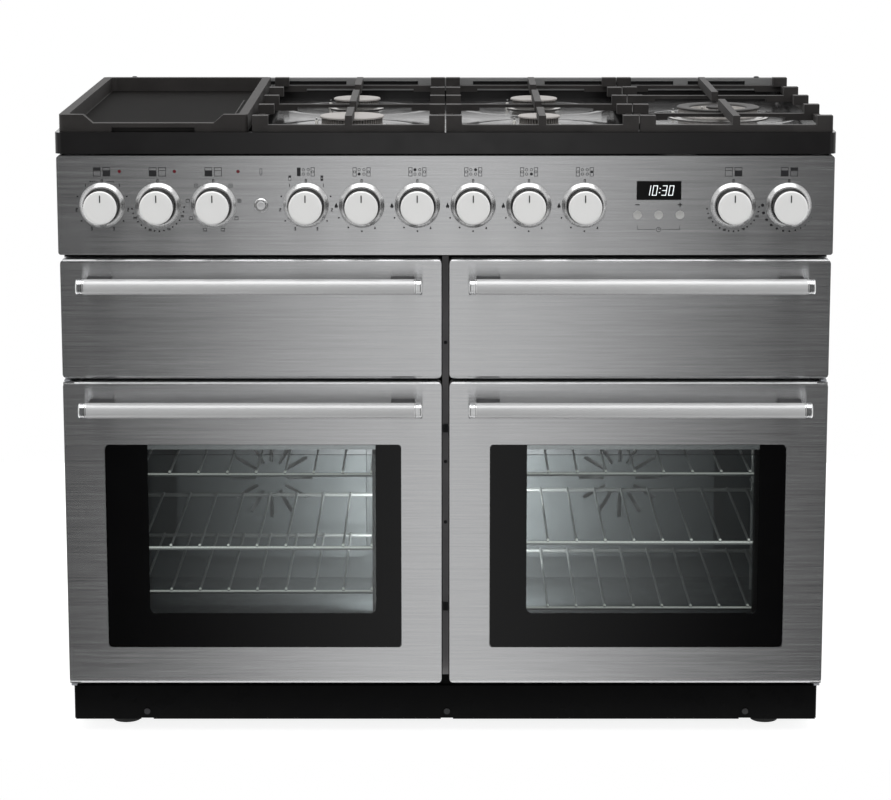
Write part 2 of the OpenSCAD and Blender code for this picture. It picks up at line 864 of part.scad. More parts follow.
// A door's outer form: rounded corners seen from the front, and rounded top and bottom edges
module door_blank(x, z, h, depth) {
    intersection() {
        slab(x, door_w, z, h, y_front, depth, door_r);
        translate([x - door_w / 2 - 1, y_front, z])
            rotate([90, 0, 90])
                linear_extrude(height = door_w + 2)
                    union() {
                        translate([edge_r, 0]) square([depth - edge_r + 1, h]);
                        translate([0, edge_r]) square([depth, h - 2 * edge_r]);
                        for (v = [edge_r, h - edge_r]) translate([edge_r, v]) circle(edge_r);
                    }
    }
}

// A folded sheet in that form, open at the back
module door_shell(x, z, h) {
    difference() {
        door_blank(x, z, h, skin_d);
        span([x - door_w / 2 + sheet_t + 1, y_front + sheet_t, z + edge_r],
                [x + door_w / 2 - sheet_t - 1, y_front + skin_d + 1, z + h - edge_r]);
    }
}

pane_t = 4;
pane_lip = 8;
pane_r = 5;
window_side = 42.5;
window_low = 40;
window_top = -11;
window_w = glass_w - 2 * window_side;
window_z = glass_z + window_low;
window_h = glass_h - window_low - window_top;

// The steel skin of an oven door, with a stepped hole for the pane and bores for the hinge pins
module oven_door_skin(s) {
    color("silver")
        difference() {
            union() {
                door_shell(s * door_x, lower_door_z, lower_door_h);
                slab(s * door_x, glass_w + 12, glass_z - 6, glass_h + 12, y_front + sheet_t - 0.5,
                    6, pane_r + 6);
                for (z = [lower_door_z + 1, lower_door_top - block_w - 1])
                    span_mirror(s, [body_w / 2 - block_w, y_front + 1, z],
                        [body_w / 2 - 0.5, y_front + skin_d - 1, z + block_w]);
            }
            slab(s * door_x, glass_w, glass_z, glass_h, y_front - 1, pane_t + 2, pane_r);
            slab(s * door_x, glass_w - 2 * pane_lip, glass_z + pane_lip, glass_h - 2 * pane_lip,
                y_front, skin_d, pane_r);
            for (z = [lower_door_z - 1, lower_door_top - pin_l - 1])
                translate([s * pivot_x, pivot_y, z]) cylinder(h = pin_l + 2, r = pin_bore_r);
        }
}

// The outer pane with its printed border, and the inner pane
module oven_door_glass(s) {
    color("black") {
        slab(s * door_x, glass_w - 2 * fit, glass_z + fit, glass_h - 2 * fit,
            y_front + 0.7, pane_t, pane_r - fit);
        slab(s * door_x, window_w + 24, window_z - 12, window_h + 20, y_front + skin_d + 2 * fit,
            pane_t, pane_r);
    }
}

liner_in = 3;

// The inner side of an oven door, with a window and a recess for the inner pane
module oven_door_liner(s) {
    color("black")
        difference() {
            slab(s * door_x, door_w - 2 * liner_in, lower_door_z + liner_in,
                lower_door_h - 2 * liner_in, y_front + skin_d + fit, door_t - skin_d - fit, door_r);
            slab(s * door_x, window_w, window_z, window_h, y_front + skin_d - 1, door_t, pane_r);
            slab(s * door_x, window_w + 24 + 2 * fit, window_z - 12 - fit, window_h + 20 + 2 * fit,
                y_front + skin_d - 1, pane_t + 1 + 3 * fit, pane_r + fit);
        }
}

post_w = 34;
post_h = 12;
cap_rim = 0.5;
seat_gap = 0.1;
bar_y = y_front - handle_out + handle_r + cap_rim;

// A handle: the bar, a cap at each end and two posts that hold it off the door
module handle(x, z) {
    bar_l = handle_l - 2 * cap_l - 2 * seat_gap;
    color("silver") {
        rod_x(x - bar_l / 2, bar_y, z, bar_l, handle_r);
        for (s = [-1, 1])
            rod_x(x + s * (handle_l - cap_l) / 2 - cap_l / 2, bar_y, z, cap_l, handle_r + cap_rim);
        for (s = [-1, 1])
            difference() {
                span([x + s * post_pitch / 2 - post_w / 2, bar_y + handle_r / 2, z - post_h / 2],
                    [x + s * post_pitch / 2 + post_w / 2, y_front, z + post_h / 2]);
                rod_x(x - handle_l, bar_y, z, 2 * handle_l, handle_r + seat_gap);
            }
    }
}

// An upper door: a folded skin with hinge blocks and notches, and a flat liner behind it
module upper_door(s) {
    notch = [for (e = [-1, 1]) s * door_x + e * (door_w / 2 - leaf_in)];
    color("silver")
        difference() {
            union() {
                door_shell(s * door_x, upper_door_z, upper_door_h);
                for (x = notch)
                    span([x - 14, y_front + 1.2, upper_door_z + 1.2],
                        [x + 14, y_front + skin_d - 1, upper_door_z + block_w]);
                slab(s * door_x, door_w - 2 * liner_in, upper_door_z + liner_in,
                    upper_door_h - 2 * liner_in, y_front + skin_d + fit, door_t - skin_d - fit,
                    door_r);
            }
            for (x = notch) {
                span([x - leaf_t / 2 - 1, pivot_y - 4.5, upper_door_z - 1],
                    [x + leaf_t / 2 + 1, y_front + door_t + 1, upper_pivot_z + 4.5]);
                rod_x(x - leaf_t / 2 - leaf_pin_l - 1, pivot_y, upper_pivot_z,
                    leaf_t + 2 * leaf_pin_l + 2, pin_bore_r);
            }
        }
}

module left_oven_door_skin() {
    oven_door_skin(-1);
}

module left_oven_door_glass() {
    oven_door_glass(-1);
}

module left_oven_door_liner() {
    oven_door_liner(-1);
}

module left_oven_door_handle() {
    handle(-door_x, lower_door_top - handle_drop);
}

module right_oven_door_skin() {
    oven_door_skin(1);
}

module right_oven_door_glass() {
    oven_door_glass(1);
}

module right_oven_door_liner() {
    oven_door_liner(1);
}

module right_oven_door_handle() {
    handle(door_x, lower_door_top - handle_drop);
}

module grill_door() {
    upper_door(-1);
}

module grill_door_handle() {
    handle(-door_x, upper_door_z + upper_door_h - handle_drop);
}

module slow_oven_door() {
    upper_door(1);
}

module slow_oven_door_handle() {
    handle(door_x, upper_door_z + upper_door_h - handle_drop);
}

base_frame();
side_panels();
back_panel();
front_frame();
plinth();
fixing_screws();
levelling_feet();
oven_cavities();
upper_cavities();
oven_seals();
fan_baffles();
fan_motors();
heating_elements();
shelf_runners();
oven_shelves();
grill_pan();
hinge_brackets();
control_panel();
knob_bezels();
indicator_lights();
clock_display();
taps_and_switches();
gas_manifold();
hob_top();
vent_trim();
griddle_hotplate();
burner_bases();
burner_crowns();
burner_caps();
igniters();
knob(0);  // knob_grill
knob(1);  // knob_left_temperature
knob(2);  // knob_left_function
knob(3);  // knob_griddle
knob(4);  // knob_burner_1
knob(5);  // knob_burner_2
knob(6);  // knob_burner_3
knob(7);  // knob_burner_4
knob(8);  // knob_burner_5
knob(9);  // knob_right_temperature
knob(10);  // knob_slow_oven
light_button();
griddle();
pan_support_left();
pan_support_middle();
pan_support_wok();
left_fan_rotor();
right_fan_rotor();
left_oven_door_skin();
left_oven_door_glass();
left_oven_door_liner();
left_oven_door_handle();
right_oven_door_skin();
right_oven_door_glass();
right_oven_door_liner();
right_oven_door_handle();
grill_door();
grill_door_handle();
slow_oven_door();
slow_oven_door_handle();
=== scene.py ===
# Looks of the range cooker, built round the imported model.
import math

import bpy
import bmesh
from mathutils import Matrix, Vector


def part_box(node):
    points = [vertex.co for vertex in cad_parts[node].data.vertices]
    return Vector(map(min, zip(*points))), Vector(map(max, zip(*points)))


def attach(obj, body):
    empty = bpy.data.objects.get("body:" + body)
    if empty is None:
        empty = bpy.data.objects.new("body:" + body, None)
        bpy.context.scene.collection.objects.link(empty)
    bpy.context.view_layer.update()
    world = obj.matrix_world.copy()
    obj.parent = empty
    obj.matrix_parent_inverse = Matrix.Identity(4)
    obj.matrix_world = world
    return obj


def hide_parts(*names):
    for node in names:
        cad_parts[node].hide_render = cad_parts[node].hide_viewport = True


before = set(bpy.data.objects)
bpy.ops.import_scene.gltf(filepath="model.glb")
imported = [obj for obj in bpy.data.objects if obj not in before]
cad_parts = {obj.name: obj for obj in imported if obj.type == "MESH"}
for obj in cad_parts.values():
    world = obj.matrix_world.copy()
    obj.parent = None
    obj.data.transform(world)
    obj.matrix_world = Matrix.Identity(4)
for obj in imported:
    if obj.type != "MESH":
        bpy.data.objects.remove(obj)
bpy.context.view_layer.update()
MM = 0.001


def box_centre(node):
    """The middle of a node's box."""
    low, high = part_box(node)
    return (low + high) / 2


# Places taken from the frame
skin_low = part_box("left_oven_door_skin")[0]
FACE_Y = skin_low.y
RIM_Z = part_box("hob_top")[1].z
KNOB_Z = box_centre("knob_griddle").z
DOOR_X = box_centre("right_oven_door_skin").x


# Camera
CAMERA_DISTANCE = 4.023
CAMERA_HEIGHT = 1.352
CAMERA_PITCH = math.radians(10.08)
FOCAL_PIXELS = 2877
SHIFT_PIXELS = 90
IMAGE_WIDTH = 891
SENSOR = 36


def make_camera():
    """A camera in front of the doors, above their middle and pitched down a little."""
    data = bpy.data.cameras.new("camera")
    data.sensor_width = SENSOR
    data.lens = FOCAL_PIXELS / IMAGE_WIDTH * SENSOR
    data.shift_y = -SHIFT_PIXELS / IMAGE_WIDTH
    data.clip_end = 50
    camera = bpy.data.objects.new("camera", data)
    camera.location = (0, FACE_Y - CAMERA_DISTANCE, CAMERA_HEIGHT)
    camera.rotation_euler = (math.pi / 2 - CAMERA_PITCH, 0, 0)
    bpy.context.scene.collection.objects.link(camera)
    bpy.context.scene.camera = camera


make_camera()


# Materials: the grain of each metal, in cycles a metre along X, Y and Z
STEEL_GRAIN = (16, 900, 1300)
SATIN_GRAIN = (40, 900, 900)
SPUN_GRAIN = (2600, 2600, 2600)


def add(tree, kind, inputs=None, **settings):
    """A node with its settings made and its inputs set or linked."""
    made = tree.nodes.new(kind)
    for key, value in settings.items():
        setattr(made, key, value)
    for key, value in (inputs or {}).items():
        if isinstance(value, bpy.types.NodeSocket):
            tree.links.new(value, made.inputs[key])
        else:
            made.inputs[key].default_value = value
    return made


def maths(tree, operation, *values):
    """The result of an operation on one or two numbers."""
    return add(tree, "ShaderNodeMath", dict(enumerate(values)), operation=operation).outputs[0]


def mapped(tree, value, low, high, start=0.25, end=0.75, **settings):
    """A number taken from between start and end to between low and high."""
    span = {"Value": value, "From Min": start, "From Max": end, "To Min": low, "To Max": high}
    return add(tree, "ShaderNodeMapRange", span, **settings).outputs["Result"]


def blended(tree, share, first, second):
    """The first number where the share is 0 and the second where it is 1."""
    return add(tree, "ShaderNodeMix", {0: share, 2: first, 3: second}, data_type="FLOAT").outputs[0]


def tinted(tree, share, dark, light):
    """The dark colour where the share is 0 and the light one where it is 1."""
    colours = {0: share, 6: (*dark, 1), 7: (*light, 1)}
    return add(tree, "ShaderNodeMix", colours, data_type="RGBA").outputs[2]


def stretched_noise(tree, scale, detail=3.0, rough=0.6):
    """Noise over the object's own coordinates, with its own number of cycles a metre on each axis."""
    place = add(tree, "ShaderNodeTexCoord").outputs["Object"]
    spread = add(tree, "ShaderNodeMapping", {"Vector": place, "Scale": scale}).outputs[0]
    noise = add(tree, "ShaderNodeTexNoise", {"Vector": spread, "Scale": 1.0, "Detail": detail,
                                             "Roughness": rough})
    return noise.outputs["Fac"]


def principled(name, colour, roughness, metallic=0.0, **more):
    """A material of one colour, and its tree and shader for what is added to it."""
    made = bpy.data.materials.new(name)
    made.use_nodes = True
    shader = made.node_tree.nodes["Principled BSDF"]
    shader.inputs["Base Color"].default_value = (*colour, 1)
    shader.inputs["Roughness"].default_value = roughness
    shader.inputs["Metallic"].default_value = metallic
    for key, value in more.items():
        shader.inputs[key.replace("_", " ")].default_value = value
    return made, made.node_tree, shader


def glowing(name, colour, roughness, glow, strength):
    """A material with a faint light of its own."""
    made, _, shader = principled(name, colour, roughness, Emission_Strength=strength)
    shader.inputs["Emission Color"].default_value = (*glow, 1)
    return made


def bumped(tree, shader, height, distance, strength=1.0):
    """Gives the shader a relief from a height between 0 and 1."""
    made = add(tree, "ShaderNodeBump", {"Height": height, "Distance": distance, "Strength": strength})
    tree.links.new(made.outputs["Normal"], shader.inputs["Normal"])


def brushed(name, dark, light, rough_low, rough_high, anisotropy):
    """Sheet steel brushed along X: fine streaks over longer, broader ones."""
    made, tree, shader = principled(name, light, rough_high, 1.0, Anisotropic=anisotropy,
                                    Anisotropic_Rotation=0.25)
    tangent = add(tree, "ShaderNodeVectorTransform", {"Vector": (1, 0, 0)}, vector_type="VECTOR",
                  convert_from="OBJECT", convert_to="WORLD")
    tree.links.new(tangent.outputs[0], shader.inputs["Tangent"])
    fine = stretched_noise(tree, STEEL_GRAIN, 3.0, 0.7)
    broad = stretched_noise(tree, tuple(cycles / 4 for cycles in STEEL_GRAIN), 3.0, 0.6)
    share = mapped(tree, maths(tree, "ADD", fine, broad), 0.0, 1.0, 0.7, 1.3)
    tree.links.new(tinted(tree, share, dark, light), shader.inputs["Base Color"])
    tree.links.new(mapped(tree, share, rough_low, rough_high, 0.0, 1.0), shader.inputs["Roughness"])
    bumped(tree, shader, fine, 0.000015, 0.4)
    return made


def cast(name, colour, roughness, grain=900, depth=0.00015, vary=0.35, specular=0.5):
    """Cast iron under matt enamel: a fine pebbled skin and slow changes of shade."""
    made, tree, shader = principled(name, colour, roughness, Specular_IOR_Level=specular)
    fine = stretched_noise(tree, (grain, grain, grain), 3.0, 0.65)
    slow = stretched_noise(tree, (22, 22, 22), 3.0)
    light = tuple(c * (1 + vary) for c in colour)
    dark = tuple(c * (1 - vary) for c in colour)
    tree.links.new(tinted(tree, mapped(tree, slow, 0.0, 1.0), dark, light), shader.inputs["Base Color"])
    tree.links.new(mapped(tree, fine, roughness - 0.1, roughness + 0.12), shader.inputs["Roughness"])
    bumped(tree, shader, fine, depth, 0.8)
    return made


def enamel(name, colour, roughness, speck=None, ripple=0.00003, specular=0.5):
    """Gloss enamel with a slow ripple, and specks where given."""
    made, tree, shader = principled(name, colour, roughness, Specular_IOR_Level=specular)
    slow = stretched_noise(tree, (30, 30, 30), 2.0)
    bumped(tree, shader, slow, ripple, 0.6)
    tree.links.new(mapped(tree, slow, roughness * 0.7, roughness * 1.5), shader.inputs["Roughness"])
    if speck:
        dots = stretched_noise(tree, (700, 700, 700), 1.0)
        share = mapped(tree, dots, 0.0, 1.0, 0.66, 0.7)
        tree.links.new(tinted(tree, share, colour, speck), shader.inputs["Base Color"])
    return made


def spun(name, colour, rough_low, rough_high, metallic):
    """Turned metal with a fine, even grain."""
    made, tree, shader = principled(name, colour, rough_high, metallic)
    streak = stretched_noise(tree, SPUN_GRAIN, 2.0)
    tree.links.new(mapped(tree, streak, rough_low, rough_high), shader.inputs["Roughness"])
    bumped(tree, shader, streak, 0.00002, 0.3)
    return made


def satin(name, colour, rough, metallic=1.0):
    """Metal or plastic with a fine grain along X."""
    made, tree, shader = principled(name, colour, rough, metallic)
    fine = stretched_noise(tree, SATIN_GRAIN, 3.0)
    dark = tuple(c * 0.94 for c in colour)
    tree.links.new(tinted(tree, mapped(tree, fine, 0.0, 1.0), dark, colour), shader.inputs["Base Color"])
    tree.links.new(mapped(tree, fine, rough * 0.8, rough * 1.25), shader.inputs["Roughness"])
    return made


STEEL = brushed("brushed_steel", (0.53, 0.533, 0.54), (0.66, 0.664, 0.67), 0.22, 0.27, 0.9)
BLACK = enamel("black_enamel", (0.003, 0.003, 0.0032), 0.3, None, 0.00001, 0.06)
HOB = enamel("hob_enamel", (0.012, 0.0115, 0.0118), 0.12, None, 0.00002, 0.34)
GREY_ENAMEL = enamel("oven_enamel", (0.16, 0.17, 0.175), 0.45, (0.22, 0.23, 0.235))
IRON = cast("cast_iron", (0.022, 0.0195, 0.0185), 0.55)
GRIDDLE = cast("griddle_iron", (0.026, 0.0235, 0.0225), 0.55, 1400, 0.00006, 0.2, 0.3)
PLATE = cast("griddle_plate", (0.007, 0.0064, 0.006), 0.7, 1400, 0.00003, 0.2, 0.04)
PAINT = cast("black_paint", (0.018, 0.018, 0.02), 0.5, 1500, 0.00004, 0.15)
ZINC = cast("galvanised", (0.30, 0.31, 0.33), 0.45, 500, 0.00003, 0.3)
CHROME = satin("chrome", (0.78, 0.785, 0.79), 0.14)
BAR = satin("satin_aluminium", (0.60, 0.602, 0.605), 0.36, 0.35)
KNOB = spun("knob_metal", (0.90, 0.90, 0.89), 0.3, 0.42, 0.25)
BURNER = cast("burner_aluminium", (0.46, 0.44, 0.42), 0.45, 1200, 0.00005, 0.15)
RUBBER = cast("seal_rubber", (0.02, 0.02, 0.02), 0.7, 700, 0.0001, 0.2)
BRASS = satin("brass", (0.6, 0.42, 0.16), 0.3)
HEATED = satin("element", (0.10, 0.09, 0.085), 0.45)
MOULDED = cast("switch_body", (0.03, 0.03, 0.032), 0.45, 600, 0.00003, 0.1)
DARK_CAP = cast("wok_cap", (0.022, 0.02, 0.019), 0.5, 900, 0.00006, 0.1)
FRAME_GREY = cast("frame_grey", (0.36, 0.348, 0.353), 0.5, 900, 0.00003, 0.1)
BASE_RING = satin("burner_ring", (0.60, 0.59, 0.575), 0.3)
CROWN = cast("burner_crown", (0.16, 0.15, 0.14), 0.5, 900, 0.00008, 0.2)
CAP = cast("burner_cap", (0.36, 0.34, 0.325), 0.5, 1200, 0.00004, 0.06)
VENT = satin("vent_trim", (0.34, 0.34, 0.34), 0.4, 0.6)
CERAMIC = principled("ceramic_white", (0.78, 0.77, 0.73), 0.25)[0]
GLOSS_BLACK = enamel("dark_glass", (0.0022, 0.0022, 0.0024), 0.05, None, 0.000005, 0.2)
PRINT = principled("panel_print", (0.012, 0.012, 0.014), 0.5)[0]
KNOB_SIDE = satin("knob_side", (0.24, 0.24, 0.24), 0.32)
BEZEL = satin("knob_bezel", (0.74, 0.74, 0.74), 0.27)
PAD = satin("touch_pad", (0.50, 0.50, 0.49), 0.45, 0.3)
RED_LENS = principled("lamp_red", (0.11, 0.006, 0.012), 0.2, Coat_Weight=0.5)[0]
DIGIT = glowing("display_digits", (0.8, 0.82, 0.83), 0.5, (0.85, 0.88, 0.9), 0.55)
PANE = principled("door_glass", (0.82, 0.855, 0.855), 0.01, Transmission_Weight=1.0, IOR=1.45,
                  Specular_IOR_Level=0.3)[0]
SHELF = satin("shelf_wire", (0.42, 0.42, 0.41), 0.4, 0.4)
SEAM = satin("bar_seam", (0.25, 0.25, 0.25), 0.45, 0.2)
# A faint glow for the shelves' front rods and wire ends: painted highlights, not a lamp.
PAINTED_GLINT = glowing("wire_painted_glint", (0.8, 0.8, 0.76), 0.3, (0.9, 0.9, 0.84), 0.3)
# Black for the boxes inside the vent slots: painted shade.
SLOT_SHADE = principled("slot_painted_shade", (0.003, 0.003, 0.003), 0.9)[0]

NODE_MATERIALS = {
    STEEL: "control_panel grill_door slow_oven_door left_oven_door_skin right_oven_door_skin",
    BLACK: "front_frame plinth left_oven_door_liner right_oven_door_liner grill_pan",
    HOB: "hob_top",
    VENT: "vent_trim",
    GREY_ENAMEL: "oven_cavities upper_cavities fan_baffles",
    GLOSS_BLACK: "griddle_hotplate clock_display",
    IRON: "pan_support_left pan_support_middle pan_support_wok",
    GRIDDLE: "griddle",
    PAINT: "side_panels fixing_screws",
    ZINC: "base_frame back_panel fan_motors hinge_brackets",
    CHROME: "knob_bezels",
    SHELF: "shelf_runners oven_shelves",
    BAR: "light_button left_fan_rotor right_fan_rotor left_oven_door_handle right_oven_door_handle "
         "grill_door_handle slow_oven_door_handle",
    KNOB: "knob_grill knob_left_temperature knob_left_function knob_griddle knob_burner_1 knob_burner_2 "
          "knob_burner_3 knob_burner_4 knob_burner_5 knob_right_temperature knob_slow_oven",
    BURNER: "burner_bases burner_crowns burner_caps",
    RUBBER: "oven_seals levelling_feet",
    RED_LENS: "indicator_lights",
    BRASS: "gas_manifold",
    HEATED: "heating_elements",
    MOULDED: "taps_and_switches",
    CERAMIC: "igniters",
    PANE: "left_oven_door_glass right_oven_door_glass",
}


def dress(obj, material):
    """Gives an object one material."""
    obj.data.materials.clear()
    obj.data.materials.append(material)


for material, names in NODE_MATERIALS.items():
    for name in names.split():
        dress(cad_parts[name], material)


# Studio: each lamp has its place, what it points at, its width and height in metres, and its watts
LAMPS = {
    "top": ((0, -0.9, 3.1), (0, 0.1, 0.6), (3.2, 2.2), 46),
    "left": ((-3.0, -2.4, 1.9), (0, 0, 0.6), (1.6, 2.2), 5),
    "right": ((3.0, -2.4, 1.9), (0, 0, 0.6), (1.6, 2.2), 5),
}
FLOOR_HALF = 1.5
FLOOR_FRONT = -0.36
FLOOR_GLOW = 0.85
FLOOR_SHADE = 0.42
FLOOR_PLAIN = 0.7

# The world: its strength for light, and what gloss and glass see by how far a ray turns aside
WORLD_LIGHT = 0.7
STRIP_START, STRIP_END = 0.005, 0.125
STRIP_LIGHT, STRIP_DARK = 0.92, 0.04
FLANK_START, FLANK_END, FLANK_LIGHT = 0.22, 0.6, 0.42
FRONT_START, FRONT_END = -0.35, 0.0


def make_lamp(name, place, target, size, power):
    """A soft rectangular lamp."""
    data = bpy.data.lights.new(name, "AREA")
    data.shape = "RECTANGLE"
    data.size, data.size_y = size
    data.energy = power
    lamp = bpy.data.objects.new(name, data)
    lamp.location = place
    lamp.rotation_euler = (Vector(target) - Vector(place)).to_track_quat("-Z", "Y").to_euler()
    bpy.context.scene.collection.objects.link(lamp)


def show_share(tree):
    """1 for rays of the camera, of gloss and of glass, 0 for light."""
    path = add(tree, "ShaderNodeLightPath").outputs
    seen = maths(tree, "MAXIMUM", path["Is Camera Ray"], path["Is Glossy Ray"])
    return maths(tree, "MAXIMUM", seen, path["Is Transmission Ray"])


def make_world():
    """White to the camera and even to light. In front, gloss sees a bright strip and softer flanks."""
    world = bpy.data.worlds.new("studio")
    world.use_nodes = True
    tree = world.node_tree
    tree.nodes.clear()
    direction = add(tree, "ShaderNodeTexCoord").outputs["Generated"]
    facing = add(tree, "ShaderNodeSeparateXYZ", {0: direction}).outputs
    ahead = maths(tree, "MAXIMUM", maths(tree, "MULTIPLY", facing["Y"], -1.0), 0.05)
    aside = maths(tree, "ABSOLUTE", maths(tree, "DIVIDE", facing["X"], ahead))
    smooth = {"interpolation_type": "SMOOTHSTEP"}
    strip = mapped(tree, aside, STRIP_LIGHT, STRIP_DARK, STRIP_START, STRIP_END, **smooth)
    flank = mapped(tree, aside, 0.0, FLANK_LIGHT, FLANK_START, FLANK_END, **smooth)
    in_front = mapped(tree, facing["Y"], 1.0, 0.0, FRONT_START, FRONT_END)
    shown = blended(tree, in_front, 1.0, maths(tree, "ADD", strip, flank))
    lit = blended(tree, show_share(tree), WORLD_LIGHT, shown)
    camera_ray = add(tree, "ShaderNodeLightPath").outputs["Is Camera Ray"]
    strength = maths(tree, "MAXIMUM", lit, camera_ray)
    background = add(tree, "ShaderNodeBackground", {"Color": (1, 1, 1, 1), "Strength": strength})
    out = add(tree, "ShaderNodeOutputWorld")
    tree.links.new(background.outputs[0], out.inputs["Surface"])
    bpy.context.scene.world = world


def make_floor():
    """A floor that looks white, keeps the object's shadow and sends plain light back up."""
    mesh = bpy.data.meshes.new("floor")
    half = FLOOR_HALF
    corners = [(-half, FLOOR_FRONT, 0), (half, FLOOR_FRONT, 0), (half, half, 0), (-half, half, 0)]
    mesh.from_pydata(corners, [], [(0, 1, 2, 3)])
    floor = bpy.data.objects.new("floor", mesh)
    bpy.context.scene.collection.objects.link(floor)
    made = bpy.data.materials.new("floor")
    made.use_nodes = True
    tree = made.node_tree
    tree.nodes.clear()
    white = add(tree, "ShaderNodeEmission", {"Color": (1, 1, 1, 1), "Strength": FLOOR_GLOW})
    matt = add(tree, "ShaderNodeBsdfDiffuse", {"Color": (FLOOR_SHADE, FLOOR_SHADE, FLOOR_SHADE, 1)})
    both = add(tree, "ShaderNodeAddShader", {0: white.outputs[0], 1: matt.outputs[0]}).outputs[0]
    plain = add(tree, "ShaderNodeBsdfDiffuse", {"Color": (FLOOR_PLAIN, FLOOR_PLAIN, FLOOR_PLAIN, 1)})
    mixed = add(tree, "ShaderNodeMixShader", {0: show_share(tree), 1: plain.outputs[0], 2: both})
    out = add(tree, "ShaderNodeOutputMaterial")
    tree.links.new(mixed.outputs[0], out.inputs["Surface"])
    dress(floor, made)


for name, values in LAMPS.items():
    make_lamp(name, *values)
make_world()
make_floor()
bpy.context.scene.view_settings.view_transform = "Standard"


# Shapes
def circle(centre, radius, axis, count):
    """Points of a circle square to an axis, all turning the same way along it."""
    made = []
    for i in range(count):
        turn = 2 * math.pi * i / count
        a, b = radius * math.cos(turn), radius * math.sin(turn)
        offset = {"X": (0, a, b), "Y": (a, 0, b), "Z": (a, b, 0)}[axis]
        made.append(Vector(centre) + Vector(offset))
    return made


def window_shape(middle, size, upper, lower, steps=8):
    """A rectangle about its middle with its upper and its lower corners rounded by two radii."""
    w, h = size[0] / 2, size[1] / 2
    made = []
    for sx, sz, start in ((1, 1, 0), (-1, 1, 1), (-1, -1, 2), (1, -1, 3)):
        radius = upper if sz > 0 else lower
        for i in range(steps + 1):
            turn = math.pi / 2 * (start + i / steps)
            x = sx * (w - radius) + radius * math.cos(turn)
            z = sz * (h - radius) + radius * math.sin(turn)
            made.append((middle[0] + x, middle[1] + z))
    return made


def rounded(width, height, radius, steps=5):
    """The outline of a rounded rectangle about the origin."""
    return window_shape((0, 0), (width, height), radius, radius, steps)


def loft(bm, rings, material=0, closed=False):
    """Skins a list of rings of points. A closed loft joins its last ring to its first."""
    rows = [[bm.verts.new(point) for point in ring] for ring in rings]
    count = len(rows[0])
    pairs = list(zip(rows, rows[1:]))
    if closed:
        pairs.append((rows[-1], rows[0]))
    for low, high in pairs:
        for i in range(count):
            j = (i + 1) % count
            face = bm.faces.new((low[i], low[j], high[j], high[i]))
            face.material_index = material
            face.smooth = True
    if not closed:
        for row in (rows[0], rows[-1]):
            bm.faces.new(row).material_index = material


def in_mm(*pairs):
    """Pairs of sizes written in millimetres."""
    return [(first * MM, second * MM) for first, second in pairs]


def lathe(bm, centre, profile, axis="Y", material=0, closed=False, count=64):
    """A turned shape: the profile is a list of (distance along the axis, radius)."""
    unit = {"X": Vector((1, 0, 0)), "Y": Vector((0, 1, 0)), "Z": Vector((0, 0, 1))}[axis]
    rings = [circle(Vector(centre) + unit * along, radius, axis, count) for along, radius in profile]
    loft(bm, rings, material, closed)


def plate(bm, shape, centre, front, back, material=0, edge=0.0):
    """An upright plate from y = front to y = back, with its front edge bevelled."""
    x, z = centre

    def section(y, shrink):
        """The shape at a depth, drawn in by a width on every side."""
        wide = max(abs(px) for px, pz in shape)
        high = max(abs(pz) for px, pz in shape)
        return [(x + px * (1 - shrink / wide), y, z + pz * (1 - shrink / high)) for px, pz in shape]

    sections = [section(back, 0), section(front + edge, 0)]
    if edge:
        sections.append(section(front, edge))
    loft(bm, sections, material)


def block(bm, low, high, material=0, edge=0.0):
    """A box with its bottom and its top edges bevelled."""
    (x0, y0, z0), (x1, y1, z1) = low, high
    rings = []
    levels = [(z0, edge), (z0 + edge, 0), (z1 - edge, 0), (z1, edge)] if edge else [(z0, 0), (z1, 0)]
    for z, shrink in levels:
        rings.append([(x0 + shrink, y0 + shrink, z), (x1 - shrink, y0 + shrink, z),
                      (x1 - shrink, y1 - shrink, z), (x0 + shrink, y1 - shrink, z)])
    loft(bm, rings, material)


def piece(name, bm, body, materials, replaced=(), sharp=35):
    """Makes the object, with its edges split where they are sharper than some degrees."""
    bmesh.ops.recalc_face_normals(bm, faces=bm.faces)
    mesh = bpy.data.meshes.new(name)
    bm.to_mesh(mesh)
    bm.free()
    mesh.polygons.foreach_set("use_smooth", [True] * len(mesh.polygons))
    mesh.set_sharp_from_angle(angle=math.radians(sharp))
    for material in materials:
        mesh.materials.append(material)
    made = bpy.data.objects.new(name, mesh)
    bpy.context.scene.collection.objects.link(made)
    if replaced:
        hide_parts(*replaced)
    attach(made, body)
    return made


# Handles: a bar between two caps, a hoop near each of its ends, and two posts
BAR_R = 11 * MM
CAP_R = 11.5 * MM
CAP_L = 9 * MM
HOOP_IN, HOOP_W = 1.2 * MM, 0.8 * MM
GROOVE = 1.1 * MM
POST_IN = 28 * MM
POST_W = 34 * MM


